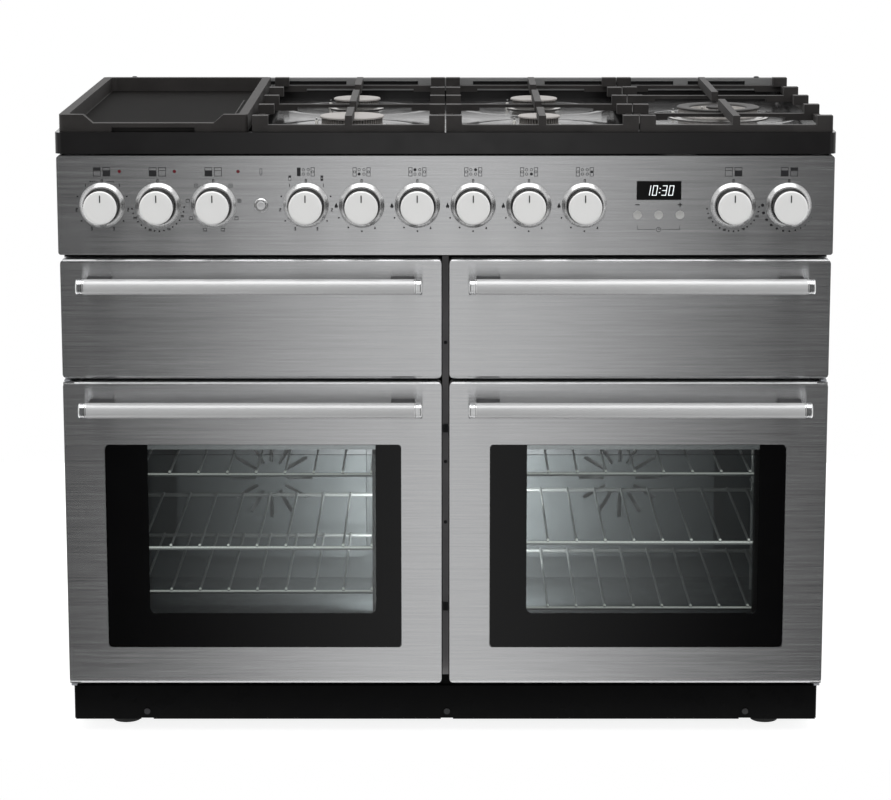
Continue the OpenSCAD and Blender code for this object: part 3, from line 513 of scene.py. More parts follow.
def make_handle(body):
    """A satin bar with a fine seam, a grooved chrome cap at each end and two dark posts."""
    node = body + "_handle"
    low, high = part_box(node)
    axis_y = low.y + CAP_R
    axis_z = (low.z + high.z) / 2
    bm = bmesh.new()
    start, end = low.x + CAP_L, high.x - CAP_L
    bar = [(0, BAR_R - 0.4 * MM), (0.4 * MM, BAR_R)]
    bar += [(end - start - 0.4 * MM, BAR_R), (end - start, BAR_R - 0.4 * MM)]
    lathe(bm, (start, axis_y, axis_z), bar, "X", 0)
    sunk, proud = BAR_R - 0.2 * MM, BAR_R + 0.15 * MM
    hoop = [(0, sunk), (0, proud), (HOOP_W, proud), (HOOP_W, sunk)]
    for x in (start + HOOP_IN, end - HOOP_IN - HOOP_W):
        lathe(bm, (x, axis_y, axis_z), hoop, "X", 1, closed=True)
    edge = axis_y - BAR_R * 0.985
    seam_low = (start + 3 * MM, edge, axis_z + 0.9 * MM)
    seam_high = (end - 3 * MM, edge + 1 * MM, axis_z + 1.5 * MM)
    block(bm, seam_low, seam_high, 3)
    for side, x in ((1, low.x), (-1, high.x)):
        cap = [(0, CAP_R - 1.6 * MM), (0.9 * MM, CAP_R - 0.4 * MM), (1.8 * MM, CAP_R)]
        for i in range(2):
            at = (3.0 + 2.4 * i) * MM
            cap += [(at, CAP_R), (at + 0.25 * MM, CAP_R - GROOVE),
                    (at + 0.85 * MM, CAP_R - GROOVE), (at + 1.1 * MM, CAP_R)]
        cap += [(CAP_L - 0.1 * MM, CAP_R)]
        lathe(bm, (x, axis_y, axis_z), [(side * along, radius) for along, radius in cap], "X", 1)
    for x in (low.x + POST_IN, high.x - POST_IN):
        rings = []
        for y, half, top, foot in ((FACE_Y, 0.5, 9, -8), (FACE_Y - 9 * MM, 0.5, 8.5, -7),
                                   (FACE_Y - 22 * MM, 0.47, 8, -6), (axis_y + BAR_R * 0.75, 0.45, 7, -6)):
            section = rounded(2 * half * POST_W, (top - foot) * MM, 2.4 * MM, 3)
            middle = axis_z + (top + foot) / 2 * MM
            rings.append([(x + px, y, middle + pz) for px, pz in section])
        loft(bm, rings, 2)
    piece(node + "_detailed", bm, body, [BAR, CHROME, MOULDED, SEAM], [node])


for body in ("left_oven_door", "right_oven_door", "grill_door", "slow_oven_door"):
    make_handle(body)


# Knobs and bezels
OVEN_KNOBS = ["knob_grill", "knob_left_temperature", "knob_left_function"]
HOB_KNOBS = ["knob_griddle"] + [f"knob_burner_{number}" for number in range(1, 6)]
RIGHT_KNOBS = ["knob_right_temperature", "knob_slow_oven"]
KNOBS = OVEN_KNOBS + HOB_KNOBS + RIGHT_KNOBS
KNOB_X = {name: box_centre(name).x for name in KNOBS}
BUTTON_X = box_centre("light_button").x
KNOB_R = 23.5 * MM
BEZEL_R = 32 * MM


def make_knob(node):
    """A round grip with dark sides, a turned metal face and an inlaid index line."""
    x = KNOB_X[node]
    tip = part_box(node)[0].y
    bm = bmesh.new()
    depth = FACE_Y - 2.4 * MM - tip
    side = [(depth, KNOB_R - 2.5 * MM), (depth - 2 * MM, KNOB_R - 1.4 * MM),
            (3.4 * MM, KNOB_R - 0.5 * MM), (2.4 * MM, KNOB_R - 0.3 * MM)]
    lathe(bm, (x, tip, KNOB_Z), side, "Y", 1, count=96)
    face = [(2.4 * MM, KNOB_R - 0.6 * MM), (2.2 * MM, KNOB_R), (1.3 * MM, KNOB_R),
            (0.35 * MM, KNOB_R - 0.8 * MM), (0.05 * MM, KNOB_R - 2.2 * MM), (0.0, KNOB_R - 5 * MM),
            (0.25 * MM, KNOB_R * 0.4), (0.3 * MM, 0.5 * MM)]
    lathe(bm, (x, tip, KNOB_Z), face, "Y", 0, count=96)
    line = rounded(1.7 * MM, 10.5 * MM, 0.6 * MM, 2)
    plate(bm, line, (x, KNOB_Z + 12.6 * MM), tip - 0.02 * MM, tip + 1 * MM, 2)
    piece(node + "_detailed", bm, node, [KNOB, KNOB_SIDE, PRINT], [node], 40)


def make_bezels():
    """A polished ring with a cone and a recess round each knob, and the light button's collar."""
    bm = bmesh.new()
    cone = [(-1.2, 0), (-4.2, 2.4), (-6.4, 4.6), (-6.7, 5.4),
            (-6.2, 5.9), (-5.6, 6.1), (-6.6, 6.5), (-6.3, 7.2)]
    bezel = [(0, BEZEL_R)] + [(out * MM, BEZEL_R - inward * MM) for out, inward in cone]
    bezel += [(-1.6 * MM, KNOB_R - 0.6 * MM), (-1.4 * MM, 8 * MM), (0, 8 * MM)]
    for name in KNOBS:
        lathe(bm, (KNOB_X[name], FACE_Y, KNOB_Z), bezel, "Y", 0, closed=True, count=96)
    collar = in_mm((0, 10), (-2.4, 10), (-3.8, 8.6), (-3.9, 7.6), (-3.2, 6.8), (0, 6.8))
    lathe(bm, (BUTTON_X, FACE_Y, KNOB_Z), collar, "Y", 0, closed=True, count=64)
    piece("knob_bezels_detailed", bm, "chassis", [BEZEL], ["knob_bezels"], 30)


def make_button():
    """The light switch's button, with a shallow dish in its face."""
    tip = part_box("light_button")[0].y
    bm = bmesh.new()
    cap = in_mm((15, 5.6), (1.4, 6.4), (0.4, 5.9), (0, 4.8), (0.5, 3.2), (0.9, 0.4))
    lathe(bm, (BUTTON_X, tip, KNOB_Z), cap, "Y", 0, count=48)
    piece("light_button_detailed", bm, "light_button", [BAR], ["light_button"])


for name in KNOBS:
    make_knob(name)
make_bezels()
make_button()


# Printing on the control panel: thin closed shapes on its face
PRINT_T = 0.12 * MM
LINE_W = 0.68 * MM
MARK_R = 37 * MM
ICON_Z = KNOB_Z + 47.4 * MM
ICON_H = 12.0 * MM
OVEN_MARKS = {
    "knob_grill": ("left_top", "right_bottom"),
    "knob_left_temperature": ("left_bottom",),
    "knob_left_function": ("left_bottom",),
    "knob_right_temperature": ("right_bottom",),
    "knob_slow_oven": ("left_bottom", "right_top"),
}
HOB_ZONES = ["left_zone", "burner_1", "burner_2", "burner_3", "burner_4", "right_burner"]
FUNCTIONS = [(41, "fan"), (80, "fan_both"), (120, "top"), (160, "both"),
             (-160, "base"), (-120, "base"), (-80, "top"), (-41, "fan")]
SEGMENTS = {"0": "abcdef", "1": "bc", "2": "abged", "3": "abgcd", "4": "fgbc", "8": "abcdefg"}
STROKES = {"a": ((-1, 1), (1, 1)), "b": ((1, 1), (1, 0)), "c": ((1, 0), (1, -1)), "d": ((-1, -1), (1, -1)),
           "e": ((-1, 0), (-1, -1)), "f": ((-1, 1), (-1, 0)), "g": ((-1, 0), (1, 0))}


def bar(bm, start, end, width, front=FACE_Y - PRINT_T, back=FACE_Y, material=0):
    """A straight stroke between two points (x, z) of the panel's face."""
    a, b = Vector(start), Vector(end)
    along = (b - a).normalized() * width / 2
    across = Vector((-along.y, along.x))
    corners = [a - along - across, b + along - across, b + along + across, a - along + across]
    loft(bm, [[(p.x, y, p.y) for p in corners] for y in (front, back)], material)


def outline(bm, points, width=LINE_W):
    """A closed line through the points."""
    for i, point in enumerate(points):
        bar(bm, point, points[(i + 1) % len(points)], width)


def filled(bm, points, lift=1.0):
    """A solid shape, raised by a number of print thicknesses."""
    loft(bm, [[(x, y, z) for x, z in points] for y in (FACE_Y - PRINT_T * lift, FACE_Y)])


def rectangle(x, z, width, height):
    """Corners of an upright rectangle about (x, z)."""
    w, h = width / 2, height / 2
    return [(x - w, z - h), (x + w, z - h), (x + w, z + h), (x - w, z + h)]


def dot(bm, x, z, radius, count=16):
    """A filled circle."""
    filled(bm, [(p.x, p.z) for p in circle((x, 0, z), radius, "Y", count)])


def ring(bm, x, z, radius, width=LINE_W, count=24):
    """An open circle."""
    outline(bm, [(p.x, p.z) for p in circle((x, 0, z), radius, "Y", count)], width)


def figure(bm, text, x, z, height, width=None, slant=0.0, front=FACE_Y - PRINT_T, back=FACE_Y, material=0):
    """Numbers made of seven strokes, centred on (x, z)."""
    stroke = width or height * 0.23
    step = height * 0.72
    wide = height * 0.42
    left = x - step * (len(text) - 1) / 2
    for i, letter in enumerate(text):
        cx = left + i * step

        def at(px, pz):
            """A point of this digit, from -1 to 1 both ways."""
            return (cx + px * wide / 2 + slant * pz * height / 2, z + pz * height / 2)

        for key in SEGMENTS[letter]:
            start, end = STROKES[key]
            bar(bm, at(*start), at(*end), stroke, front, back, material)


def around(x, degrees, radius=MARK_R):
    """The point at an angle round a knob, clockwise from the top."""
    turn = math.radians(degrees)
    return (x + radius * math.sin(turn), KNOB_Z + radius * math.cos(turn))


def oven_icon(bm, x, marked):
    """Two ovens side by side, each with a small one over a large one."""
    divide = ICON_Z + 1.8 * MM
    for side, sx in (("left", -1), ("right", 1)):
        cx = x + sx * 6.7 * MM
        outline(bm, rectangle(cx, ICON_Z, 10.0 * MM, ICON_H))
        bar(bm, (cx - 5 * MM, divide), (cx + 5 * MM, divide), LINE_W)
        if side + "_top" in marked:
            filled(bm, rectangle(cx, ICON_Z + 3.9 * MM, 10 * MM, 4.2 * MM), 1.4)
        if side + "_bottom" in marked:
            filled(bm, rectangle(cx, ICON_Z - 2.1 * MM, 10 * MM, 7.8 * MM), 1.4)


def hob_icon(bm, x, marked):
    """The hob from above: a long zone, four round ones and another long zone."""
    for side, sx in (("left", -1), ("right", 1)):
        cx = x + sx * 9.8 * MM
        if side + "_zone" in marked:
            filled(bm, rectangle(cx, ICON_Z, 5.2 * MM, ICON_H), 1.4)
            continue
        outline(bm, rectangle(cx, ICON_Z, 4.8 * MM, ICON_H))
        if side + "_burner" in marked:
            dot(bm, cx, ICON_Z, 1.9 * MM)
        else:
            ring(bm, cx, ICON_Z, 1.6 * MM, 0.6 * MM, 16)
    for i, (sx, sz) in enumerate(((-1, -1), (-1, 1), (1, 1), (1, -1))):
        cx, cz = x + sx * 3.4 * MM, ICON_Z + sz * 3.1 * MM
        if f"burner_{i + 1}" in marked:
            dot(bm, cx, cz, 2.1 * MM)
        else:
            ring(bm, cx, cz, 1.7 * MM, 0.6 * MM, 16)


def flame(bm, x, z, height):
    """A flame with a pointed top and a split foot."""
    half = height * 0.3
    right = [(0.2, -0.5), (0.55, -0.5), (1, -0.1), (0.75, 0.2), (0.35, 0.55)]
    left = [(-px, pz) for px, pz in reversed(right)]
    points = [(0, -0.18)] + right + [(0, 1.0)] + left
    filled(bm, [(x + px * half, z + (pz - 0.25) * height * 0.66) for px, pz in points])


def small_oven(bm, x, z, kind):
    """One of the oven's functions: a small square with a bar, a cross or lines."""
    outline(bm, rectangle(x, z, 4.8 * MM, 4.4 * MM), 0.62 * MM)
    if kind in ("top", "both"):
        bar(bm, (x - 1.4 * MM, z + 1.2 * MM), (x + 1.4 * MM, z + 1.2 * MM), 0.5 * MM)
    if kind in ("base", "both"):
        bar(bm, (x - 1.4 * MM, z - 1.2 * MM), (x + 1.4 * MM, z - 1.2 * MM), 0.5 * MM)
    if kind in ("fan", "fan_both"):
        bar(bm, (x - 1 * MM, z - 0.9 * MM), (x + 1 * MM, z + 0.9 * MM), 0.4 * MM)
        bar(bm, (x - 1 * MM, z + 0.9 * MM), (x + 1 * MM, z - 0.9 * MM), 0.4 * MM)
    if kind == "fan_both":
        ring(bm, x, z, 1.5 * MM, 0.35 * MM, 12)


def print_level_dial(bm, x):
    """Levels 1 to 3 both ways, with dots between them."""
    for side in (-1, 1):
        for level, angle in (("1", 40), ("2", 100), ("3", 155)):
            figure(bm, level, *around(x, side * angle), 3.9 * MM)
        for angle in (70, 127):
            dot(bm, *around(x, side * angle), 1.15 * MM)


def print_temperature_dial(bm, x):
    """Dots all the way round, with four temperatures among them."""
    first, step, numbers = 94, 10.5, {2: "100", 6: "140", 10: "180", 14: "220"}
    for i in range(17):
        place = around(x, first + i * step)
        if i in numbers:
            figure(bm, numbers[i], *place, 2.6 * MM, 0.55 * MM)
        else:
            dot(bm, *place, 1.15 * MM)


def print_flame_dial(bm, x):
    """A large flame, dots and a small flame."""
    flame(bm, *around(x, 270, 36 * MM), 8.2 * MM)
    for angle in (241, 211, 180):
        dot(bm, *around(x, angle), 1.2 * MM)
    flame(bm, *around(x, 150), 4.2 * MM)


def print_grill_wedge(bm, x):
    """Bars that grow away from the zero on both sides."""
    for side in (-1, 1):
        for i in range(4):
            bar_x = x + side * (7.4 + 2.9 * i) * MM
            filled(bm, rectangle(bar_x, KNOB_Z + 33.6 * MM, 1.7 * MM, (0.9 + 0.3 * i) * MM))


def print_griddle_zones(bm, x):
    """The griddle with its rear half marked on the left, and all of it on the right."""
    for side in (-1, 1):
        px, pz = x + side * 22.6 * MM, KNOB_Z + 38.5 * MM
        outline(bm, rectangle(px, pz, 3.2 * MM, 7.2 * MM), 0.5 * MM)
        filled(bm, rectangle(px, pz + 1.9 * MM, 3.2 * MM, 2.6 * MM))
        if side == 1:
            filled(bm, rectangle(px, pz - 1.9 * MM, 3.2 * MM, 2.6 * MM))


def print_function_dial(bm, x):
    """The oven's eight functions."""
    for angle, kind in FUNCTIONS:
        small_oven(bm, *around(x, angle), kind)


def print_slow_dial(bm, x):
    """Twelve dots that shrink round the dial."""
    for i in range(12):
        dot(bm, *around(x, 270 - 17.4 * i + 0.33 * i * i), (2.3 - 0.155 * i) * MM, 20)


def print_light_mark(bm):
    """A lamp: a tall glass over a short foot."""
    outline(bm, rectangle(BUTTON_X, KNOB_Z + 48 * MM, 3.0 * MM, 7.5 * MM), 0.6 * MM)
    foot = KNOB_Z + 42.6 * MM
    bar(bm, (BUTTON_X - 1 * MM, foot), (BUTTON_X + 1 * MM, foot), 0.5 * MM)


def print_panel():
    """All the marks round the knobs and the light button, as one piece."""
    bm = bmesh.new()
    for name in KNOBS:
        figure(bm, "0", KNOB_X[name], KNOB_Z + 34.3 * MM, 4.4 * MM, 0.95 * MM)
    for name, marked in OVEN_MARKS.items():
        oven_icon(bm, KNOB_X[name], marked)
    for name, zone in zip(HOB_KNOBS, HOB_ZONES):
        hob_icon(bm, KNOB_X[name], (zone,))
    for name in HOB_KNOBS[1:]:
        print_flame_dial(bm, KNOB_X[name])
    for name in ("knob_left_temperature", "knob_right_temperature"):
        print_temperature_dial(bm, KNOB_X[name])
    for name in ("knob_grill", "knob_griddle"):
        print_level_dial(bm, KNOB_X[name])
    print_grill_wedge(bm, KNOB_X["knob_grill"])
    print_griddle_zones(bm, KNOB_X["knob_griddle"])
    print_function_dial(bm, KNOB_X["knob_left_function"])
    print_slow_dial(bm, KNOB_X["knob_slow_oven"])
    print_light_mark(bm)
    piece("panel_print", bm, "chassis", [PRINT])


print_panel()


# Clock
CLOCK_X = box_centre("clock_display").x
WINDOW_W, WINDOW_H = 63 * MM, 27 * MM
WINDOW_Z = KNOB_Z + 21 * MM
PAD_PITCH = 30 * MM
BRACKET_Z = KNOB_Z - 34.6 * MM


def make_clock():
    """A black glass window, slanted digits, three touch pads, and the module behind the panel."""
    low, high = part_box("clock_display")
    bm = bmesh.new()
    front, back = FACE_Y - 0.5 * MM, FACE_Y + 2.3 * MM
    window = rounded(WINDOW_W - 0.6 * MM, WINDOW_H - 0.6 * MM, 2.6 * MM)
    plate(bm, window, (CLOCK_X, WINDOW_Z), front, back, 0, 0.3 * MM)
    block(bm, (low.x, back, low.z), high, 1, 1 * MM)
    digits = (front - 0.05 * MM, front + 0.1 * MM)
    for text, x in (("10", -10.5), ("30", 12.5)):
        figure(bm, text, CLOCK_X + x * MM, WINDOW_Z, 13.4 * MM, 1.0 * MM, 0.16, *digits, 2)
    for z in (-3, 3):
        x = CLOCK_X + (1.2 + 0.16 * z) * MM
        bar(bm, (x - 0.3 * MM, WINDOW_Z + z * MM), (x + 0.3 * MM, WINDOW_Z + z * MM), 1.3 * MM, *digits, 2)
    pad = in_mm((0.6, 6), (0.15, 6), (0.0, 5.4), (0.2, 5.0), (0.3, 0.4))
    for i in (-1, 0, 1):
        lathe(bm, (CLOCK_X + i * PAD_PITCH, FACE_Y - 0.6 * MM, KNOB_Z - 14 * MM), pad, "Y", 3, count=40)
    materials = [GLOSS_BLACK, MOULDED, DIGIT, PAD]
    piece("clock_detailed", bm, "chassis", materials, ["clock_display"])


def print_clock():
    """Minus, plus and a bracket with a small clock between its halves."""
    bm = bmesh.new()
    z = KNOB_Z + 0.7 * MM
    for side in (-1, 1):
        x = CLOCK_X + side * PAD_PITCH
        bar(bm, (x - 2.6 * MM, z), (x + 2.6 * MM, z), 1.3 * MM)
        if side == 1:
            bar(bm, (x, z - 2.6 * MM), (x, z + 2.6 * MM), 1.3 * MM)
        bar(bm, (CLOCK_X + side * 5.2 * MM, BRACKET_Z), (x, BRACKET_Z), 0.5 * MM)
        bar(bm, (x, BRACKET_Z), (x, BRACKET_Z + 5.4 * MM), 0.5 * MM)
    ring(bm, CLOCK_X, BRACKET_Z, 3.1 * MM, 0.55 * MM)
    bar(bm, (CLOCK_X, BRACKET_Z), (CLOCK_X, BRACKET_Z + 1.8 * MM), 0.5 * MM)
    bar(bm, (CLOCK_X, BRACKET_Z), (CLOCK_X + 1.3 * MM, BRACKET_Z), 0.5 * MM)
    piece("clock_print", bm, "chassis", [PRINT])


make_clock()
print_clock()


# Doors
PANE_GAP = 0.3 * MM
PANE_SIDE, PANE_LOW, PANE_TOP = 57.6 * MM, 55 * MM, 92 * MM
PANE_R = 7 * MM
CLEAR_TOP_R = 1 * MM
CLEAR_R = 9 * MM
WINDOW_X = {"left": (-151.5 * MM, 175.5 * MM), "right": (-159 * MM, 175 * MM)}
WINDOW_LOW = skin_low.z + 105 * MM


def soften(node, width):
    """Rounds the sharp edges of a CAD node that is shown."""
    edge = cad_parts[node].modifiers.new("edges", "BEVEL")
    edge.width = width
    edge.segments = 2
    edge.limit_method = "ANGLE"
    edge.angle_limit = math.radians(40)
    edge.harden_normals = True


def make_pane(side):
    """The outer pane: a black printed border round a clear window, and the inner pane behind."""
    node = side + "_oven_door_glass"
    body = side + "_oven_door"
    low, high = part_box(side + "_oven_door_skin")
    width = high.x - low.x - 2 * (PANE_SIDE + PANE_GAP)
    bottom, top = low.z + PANE_LOW + PANE_GAP, high.z - PANE_TOP - PANE_GAP
    cx = -DOOR_X if side == "left" else DOOR_X
    cz = (bottom + top) / 2
    clear_left, clear_right = WINDOW_X[side]
    clear_middle = (cx + (clear_left + clear_right) / 2, (WINDOW_LOW + top) / 2)
    clear_size = (clear_right - clear_left, top - WINDOW_LOW - 1 * MM)
    outer = window_shape((cx, cz), (width, top - bottom), PANE_R, PANE_R)
    rim = [((x - cx) * 0.9985 + cx, (z - cz) * 0.998 + cz) for x, z in outer]
    inner = window_shape(clear_middle, clear_size, CLEAR_TOP_R, CLEAR_R)
    front, back = FACE_Y + 0.7 * MM, FACE_Y + 4.4 * MM
    bm = bmesh.new()
    loops = [(outer, back), (outer, front + 0.4 * MM), (rim, front), (inner, front), (inner, back)]
    loft(bm, [[(x, y, z) for x, z in loop] for loop, y in loops], 0, closed=True)
    piece(side + "_window_border", bm, body, [GLOSS_BLACK], [], 30)
    bm = bmesh.new()
    loft(bm, [[(x, y, z) for x, z in inner] for y in (front + 0.1 * MM, back - 0.1 * MM)], 0)
    inner_pane = rounded(width - 60 * MM, top - bottom - 40 * MM, 6 * MM)
    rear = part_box(node)[1].y
    loft(bm, [[(cx + px, y, cz + pz) for px, pz in inner_pane] for y in (rear - 4 * MM, rear)], 0)
    piece(side + "_window_glass", bm, body, [PANE], [node], 30)


for side in ("left", "right"):
    make_pane(side)
    soften(side + "_oven_door_skin", 0.8 * MM)
    soften(side + "_oven_door_liner", 1.0 * MM)
for node in ("grill_door", "slow_oven_door", "control_panel"):
    soften(node, 0.9 * MM)
soften("plinth", 0.8 * MM)


# Oven interiors: the watts of the two small lamps in each oven
OVEN_LIGHT, OVEN_FILL = 0.88, 0.09

# The shelves' heights over the lowest one, in the left oven and in the right one
SHELF_LEVELS = {-1: (25 * MM, 91 * MM, 201 * MM), 1: (0, 99 * MM, 202 * MM)}
SHELF_HALF = 222 * MM
ROD_R = 1.45 * MM
WIRE_COUNT, WIRE_PITCH = 9, 42 * MM


def make_oven_light(side):
    """A glow on the back wall near the middle of the cooker, and a weak fill through the oven."""
    low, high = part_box("oven_cavities")
    sign = -1 if side == "left" else 1
    middle = (low.z + high.z) / 2
    glow_x, wall_x = sign * (DOOR_X - 175 * MM), sign * (DOOR_X - 190 * MM)
    glow = (glow_x, high.y - 200 * MM, middle), (wall_x, high.y, middle)
    make_lamp(side + "_oven_light", *glow, (0.06, 0.30), OVEN_LIGHT)
    fill = (sign * DOOR_X, low.y + 20 * MM, middle + 60 * MM), (sign * DOOR_X, high.y, middle)
    make_lamp(side + "_oven_fill", *fill, (0.36, 0.20), OVEN_FILL)


def make_shelf_glints():
    """Thin glowing rods along the front rod of each shelf and glowing round ends on its wires: painted
    highlights.
    """
    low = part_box("oven_shelves")[0]
    length, chamfer = 2 * SHELF_HALF, 0.3 * ROD_R
    rod = [(0, 0.6 * ROD_R), (chamfer, ROD_R), (length - chamfer, ROD_R), (length, 0.6 * ROD_R)]
    tip = in_mm((0, 0.5), (0.5, 1.3), (1.8, 1.9), (3.6, 1.9))
    bm = bmesh.new()
    for sign, levels in SHELF_LEVELS.items():
        for level in levels:
            x = sign * DOOR_X
            z = low.z + level + 3 * MM
            lathe(bm, (x - SHELF_HALF, low.y + 1.2 * MM, z + 1.4 * MM), rod, "X", 0, count=10)
            for i in range(WIRE_COUNT):
                wire_x = x + (i - (WIRE_COUNT - 1) / 2) * WIRE_PITCH
                lathe(bm, (wire_x, low.y - 1.2 * MM, z + 4.9 * MM), tip, "Y", 0, count=12)
    piece("shelf_rod_painted_glints", bm, "chassis", [PAINTED_GLINT])


make_shelf_glints()
for side in ("left", "right"):
    make_oven_light(side)


# Hob: places are measured back from the doors' face
FRONT_BURNER, REAR_BURNER = 164 * MM, 414 * MM
HOB_FLOOR = RIM_Z - 10 * MM
LEFT_X, MIDDLE_X, WOK_X = (box_centre("pan_support_" + part).x for part in ("left", "middle", "wok"))

# Each burner's place across and behind the doors, the radius of its cap and of the cap's opening
BURNERS = [
    (LEFT_X, FRONT_BURNER, 47 * MM, 0),
    (LEFT_X, REAR_BURNER, 36 * MM, 0),
    (MIDDLE_X, REAR_BURNER, 36 * MM, 0),
    (MIDDLE_X, FRONT_BURNER, 31 * MM, 0),
    (WOK_X, (FRONT_BURNER + REAR_BURNER) / 2, 62 * MM, 42 * MM),
]
TOOTH_PITCH, TOOTH_DEPTH = 4.2 * MM, 5 * MM
STUD_REACH = 31 * MM
SLOT_X = [x * MM for x in (90, 205, 320, 435)]
SLOT_HALF = 45.6 * MM
STOP_X = 500 * MM

# The lower and the upper end of a crown's gas ports, in millimetres above the hob's floor
PORTS_LOW, PORTS_HIGH = 6.2, 13.4


def turned(bm, x, y, profile, material=0, closed=False, count=72):
    """A shape turned about an upright axis. Its heights are millimetres above the hob's floor."""
    turned_profile = [(up * MM, radius) for up, radius in profile]
    lathe(bm, (x, y, HOB_FLOOR), turned_profile, "Z", material, closed, count)


def crown_teeth(bm, x, y, radius, material):
    """The narrow teeth between a crown's gas ports."""
    count = int(2 * math.pi * radius / TOOTH_PITCH)
    half = 0.3 * 2 * math.pi / count
    root = radius - TOOTH_DEPTH
    for i in range(count):
        middle = 2 * math.pi * i / count
        low, high = middle - half, middle + half
        corners = []
        for reach, turn in ((root, low), (radius, low), (radius, high), (root, high)):
            corners.append((x + reach * math.cos(turn), y + reach * math.sin(turn)))
        levels = (HOB_FLOOR + PORTS_LOW * MM, HOB_FLOOR + PORTS_HIGH * MM)
        loft(bm, [[(px, py, z) for px, py in corners] for z in levels], material)


def make_bases():
    """The polished ring under each crown, with its throat through the hob."""
    bm = bmesh.new()
    for x, deep, radius, _ in BURNERS:
        throat = [(-34, 13 * MM), (-34, 17 * MM), (0.2, 17 * MM)]
        flange = [(0.2, radius + 5 * MM), (1.6, radius + 5.5 * MM), (3.4, radius + 2 * MM),
                  (4.2, radius - 3 * MM), (4.2, 13 * MM)]
        turned(bm, x, FACE_Y + deep, throat + flange, 0, True)
    piece("burner_bases_detailed", bm, "chassis", [BASE_RING], ["burner_bases"])


def make_crowns():
    """The crown with the gas ports, and the wok burner's inner crown and four studs."""
    bm = bmesh.new()
    for x, deep, radius, opening in BURNERS:
        y = FACE_Y + deep
        inner = opening - 2 * MM if opening else 10 * MM
        tone = 1 if opening else 0
        crown = [(4.0, inner), (4.0, radius - 2 * MM), (PORTS_LOW, radius - 2.5 * MM),
                 (6.4, radius - 7 * MM), (PORTS_HIGH, radius - 7 * MM), (PORTS_HIGH, inner)]
        turned(bm, x, y, crown, tone, True)
        crown_teeth(bm, x, y, radius - 2.5 * MM, tone)
        if opening:
            middle = [(4.0, 8 * MM), (4.0, 16 * MM), (PORTS_HIGH, 14 * MM), (PORTS_HIGH, 8 * MM)]
            turned(bm, x, y, middle, 1, True)
            stud = [(1.0, 3.4 * MM), (8, 2.6 * MM), (13, 2.2 * MM), (14, 0.8 * MM)]
            for i in range(4):
                turn = math.radians(45 + 90 * i)
                at_x, at_y = x + STUD_REACH * math.cos(turn), y + STUD_REACH * math.sin(turn)
                turned(bm, at_x, at_y, stud, 2, count=20)
    materials = [CROWN, BURNER, BASE_RING]
    piece("burner_crowns_detailed", bm, "chassis", materials, ["burner_crowns"])


def make_caps():
    """Flat caps with rounded edges. The wok burner's is a ring with a small cap inside."""
    bm = bmesh.new()
    for x, deep, radius, opening in BURNERS:
        y = FACE_Y + deep
        edge = [(13.5, radius - 2.4 * MM), (14.1, radius), (15.9, radius), (16.7, radius - 1 * MM),
                (17.0, radius - 3 * MM)]
        if opening:
            inside = [(16.9, (radius + opening) / 2), (15.8, opening + 1.6 * MM), (14.2, opening),
                      (13.5, opening + 1 * MM)]
            turned(bm, x, y, edge + inside, 2, True, 96)
            small = [(13.5, 15 * MM), (14.2, 17.6 * MM), (16.2, 17.8 * MM), (17.0, 16 * MM),
                     (17.0, 0.5 * MM)]
            turned(bm, x, y, small, 2)
        else:
            turned(bm, x, y, edge + [(16.95, radius * 0.5), (17.0, 0.5 * MM)], 0, count=96)
    materials = [CAP, CROWN, DARK_CAP]
    piece("burner_caps_detailed", bm, "chassis", materials, ["burner_caps"])


def make_igniters():
    """A ceramic sleeve with a metal tip to the left of each burner."""
    sleeve = [(0, 3.4 * MM), (1.2, 3.4 * MM), (1.4, 2.4 * MM), (8.2, 2.3 * MM), (8.6, 1.8 * MM)]
    tip = [(8.4, 0.7 * MM), (12.6, 0.7 * MM), (13.0, 0.3 * MM)]
    bm = bmesh.new()
    for burner_x, deep, radius, _ in BURNERS:
        x, y = burner_x - radius - 5 * MM, FACE_Y + deep + 4 * MM
        turned(bm, x, y, sleeve, 0, count=24)
        turned(bm, x, y, tip, 1, count=12)
    piece("igniters_detailed", bm, "chassis", [CERAMIC, CHROME], ["igniters"])


def make_wells():
    """The low ring pressed in the hob round each burner, and the wok burner's bright trim."""
    bm = bmesh.new()
    for x, deep, radius, opening in BURNERS:
        y = FACE_Y + deep
        reach = 119 * MM if opening else 112 * MM
        well = [(0, reach - 16 * MM), (0.5, reach - 12 * MM), (0.9, reach - 8 * MM), (0.5, reach - 4 * MM),
                (0, reach)]
        turned(bm, x, y, well, 0, True, 120)
        if opening:
            trim = [(0, radius + 7 * MM), (1.4, radius + 7.5 * MM), (2.2, radius + 10 * MM),
                    (1.2, radius + 13 * MM), (0, radius + 13 * MM)]
            turned(bm, x, y, trim, 1, True, 96)
    piece("hob_wells", bm, "chassis", [HOB, BASE_RING])


def make_griddle_plate():
    """The seasoned floor of the griddle, with the shallow step along its front and its right."""
    low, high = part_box("griddle")
    z = low.z + 3 * MM
    step_low, step_high = z - 0.5 * MM, z + 0.5 * MM
    middle = (low + high) / 2
    floor = rounded(high.x - low.x - 30 * MM, high.y - low.y - 30 * MM, 5 * MM)
    bm = bmesh.new()
    levels = (z - 0.3 * MM, z + 0.15 * MM)
    loft(bm, [[(middle.x + px, middle.y + py, level) for px, py in floor] for level in levels], 1)
    front, right = low.y + 60 * MM, high.x - 33 * MM
    steps = (((low.x + 44 * MM, front), (high.x - 62 * MM, front + 1.6 * MM)),
             ((right, low.y + 110 * MM), (right + 1.6 * MM, low.y + 400 * MM)))
    for start, end in steps:
        block(bm, (*start, step_low), (*end, step_high), 0, 0.3 * MM)
    piece("griddle_plate", bm, "griddle", [IRON, PLATE])


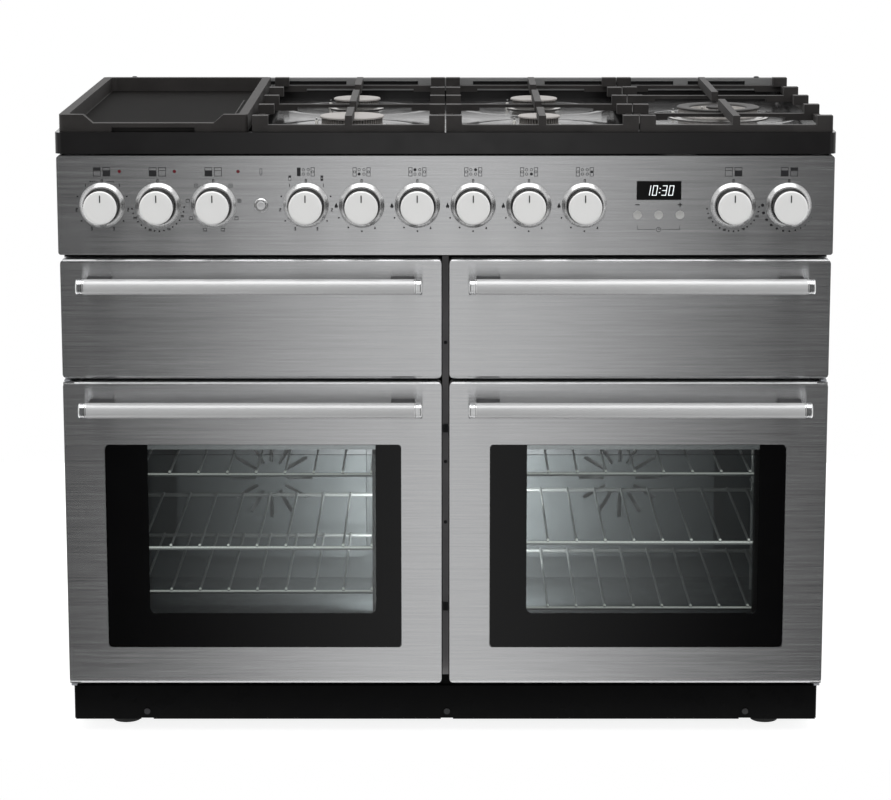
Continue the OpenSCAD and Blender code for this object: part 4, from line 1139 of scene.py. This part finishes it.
def make_vent():
    """Black boxes inside the trim's slots as painted shade, and two round stops on the trim at the back of
    the hob.
    """
    low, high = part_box("vent_trim")
    stop = in_mm((0, 4.5), (1.6, 4.3), (2.6, 3), (2.9, 0.6))
    slot_low, slot_high = high.z - 10.8 * MM, high.z - 5.2 * MM
    bm = bmesh.new()
    for side in (-1, 1):
        for x in SLOT_X:
            start = (side * x - SLOT_HALF, low.y + 2 * MM, slot_low)
            end = (side * x + SLOT_HALF, low.y + 11 * MM, slot_high)
            block(bm, start, end, 0, 0.2 * MM)
        place = (side * STOP_X, (low.y + high.y) / 2, high.z - 0.5 * MM)
        lathe(bm, place, stop, "Z", 1, count=32)
    piece("vent_slot_shade_and_stops", bm, "chassis", [SLOT_SHADE, PAINT])


make_bases()
make_crowns()
make_caps()
make_igniters()
make_wells()
make_griddle_plate()
make_vent()
for node in ("pan_support_left", "pan_support_middle", "pan_support_wok"):
    soften(node, 2.2 * MM)
soften("griddle", 2.0 * MM)
soften("hob_top", 2.2 * MM)
soften("vent_trim", 0.8 * MM)


# The strip between the doors
STRIP_HALF = 4.5 * MM


def make_centre_strip():
    """The painted strip seen between the doors, with its screws and the latches' strikers."""
    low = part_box("left_oven_door_skin")[0]
    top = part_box("grill_door")[1].z
    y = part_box("front_frame")[0].y
    screw = in_mm((0, 2.6), (-1.0, 2.4), (-1.5, 1.4), (-1.5, 0.4))
    bm = bmesh.new()
    start = (-STRIP_HALF, y - 1.2 * MM, low.z + 2 * MM)
    end = (STRIP_HALF, y - 0.05 * MM, top - 2 * MM)
    block(bm, start, end, 0, 0.3 * MM)
    for z in (top - 128 * MM, low.z + 322 * MM, low.z + 232 * MM):
        lathe(bm, (0, y - 1.2 * MM, z), screw, "Y", 1, count=24)
    for z in (low.z + 372 * MM, low.z + 106 * MM):
        block(bm, (-3.8 * MM, y - 6 * MM, z - 6 * MM), (3.8 * MM, y - 1 * MM, z + 6 * MM), 1, 0.8 * MM)
    piece("centre_strip", bm, "chassis", [FRAME_GREY, PAINT])


make_centre_strip()
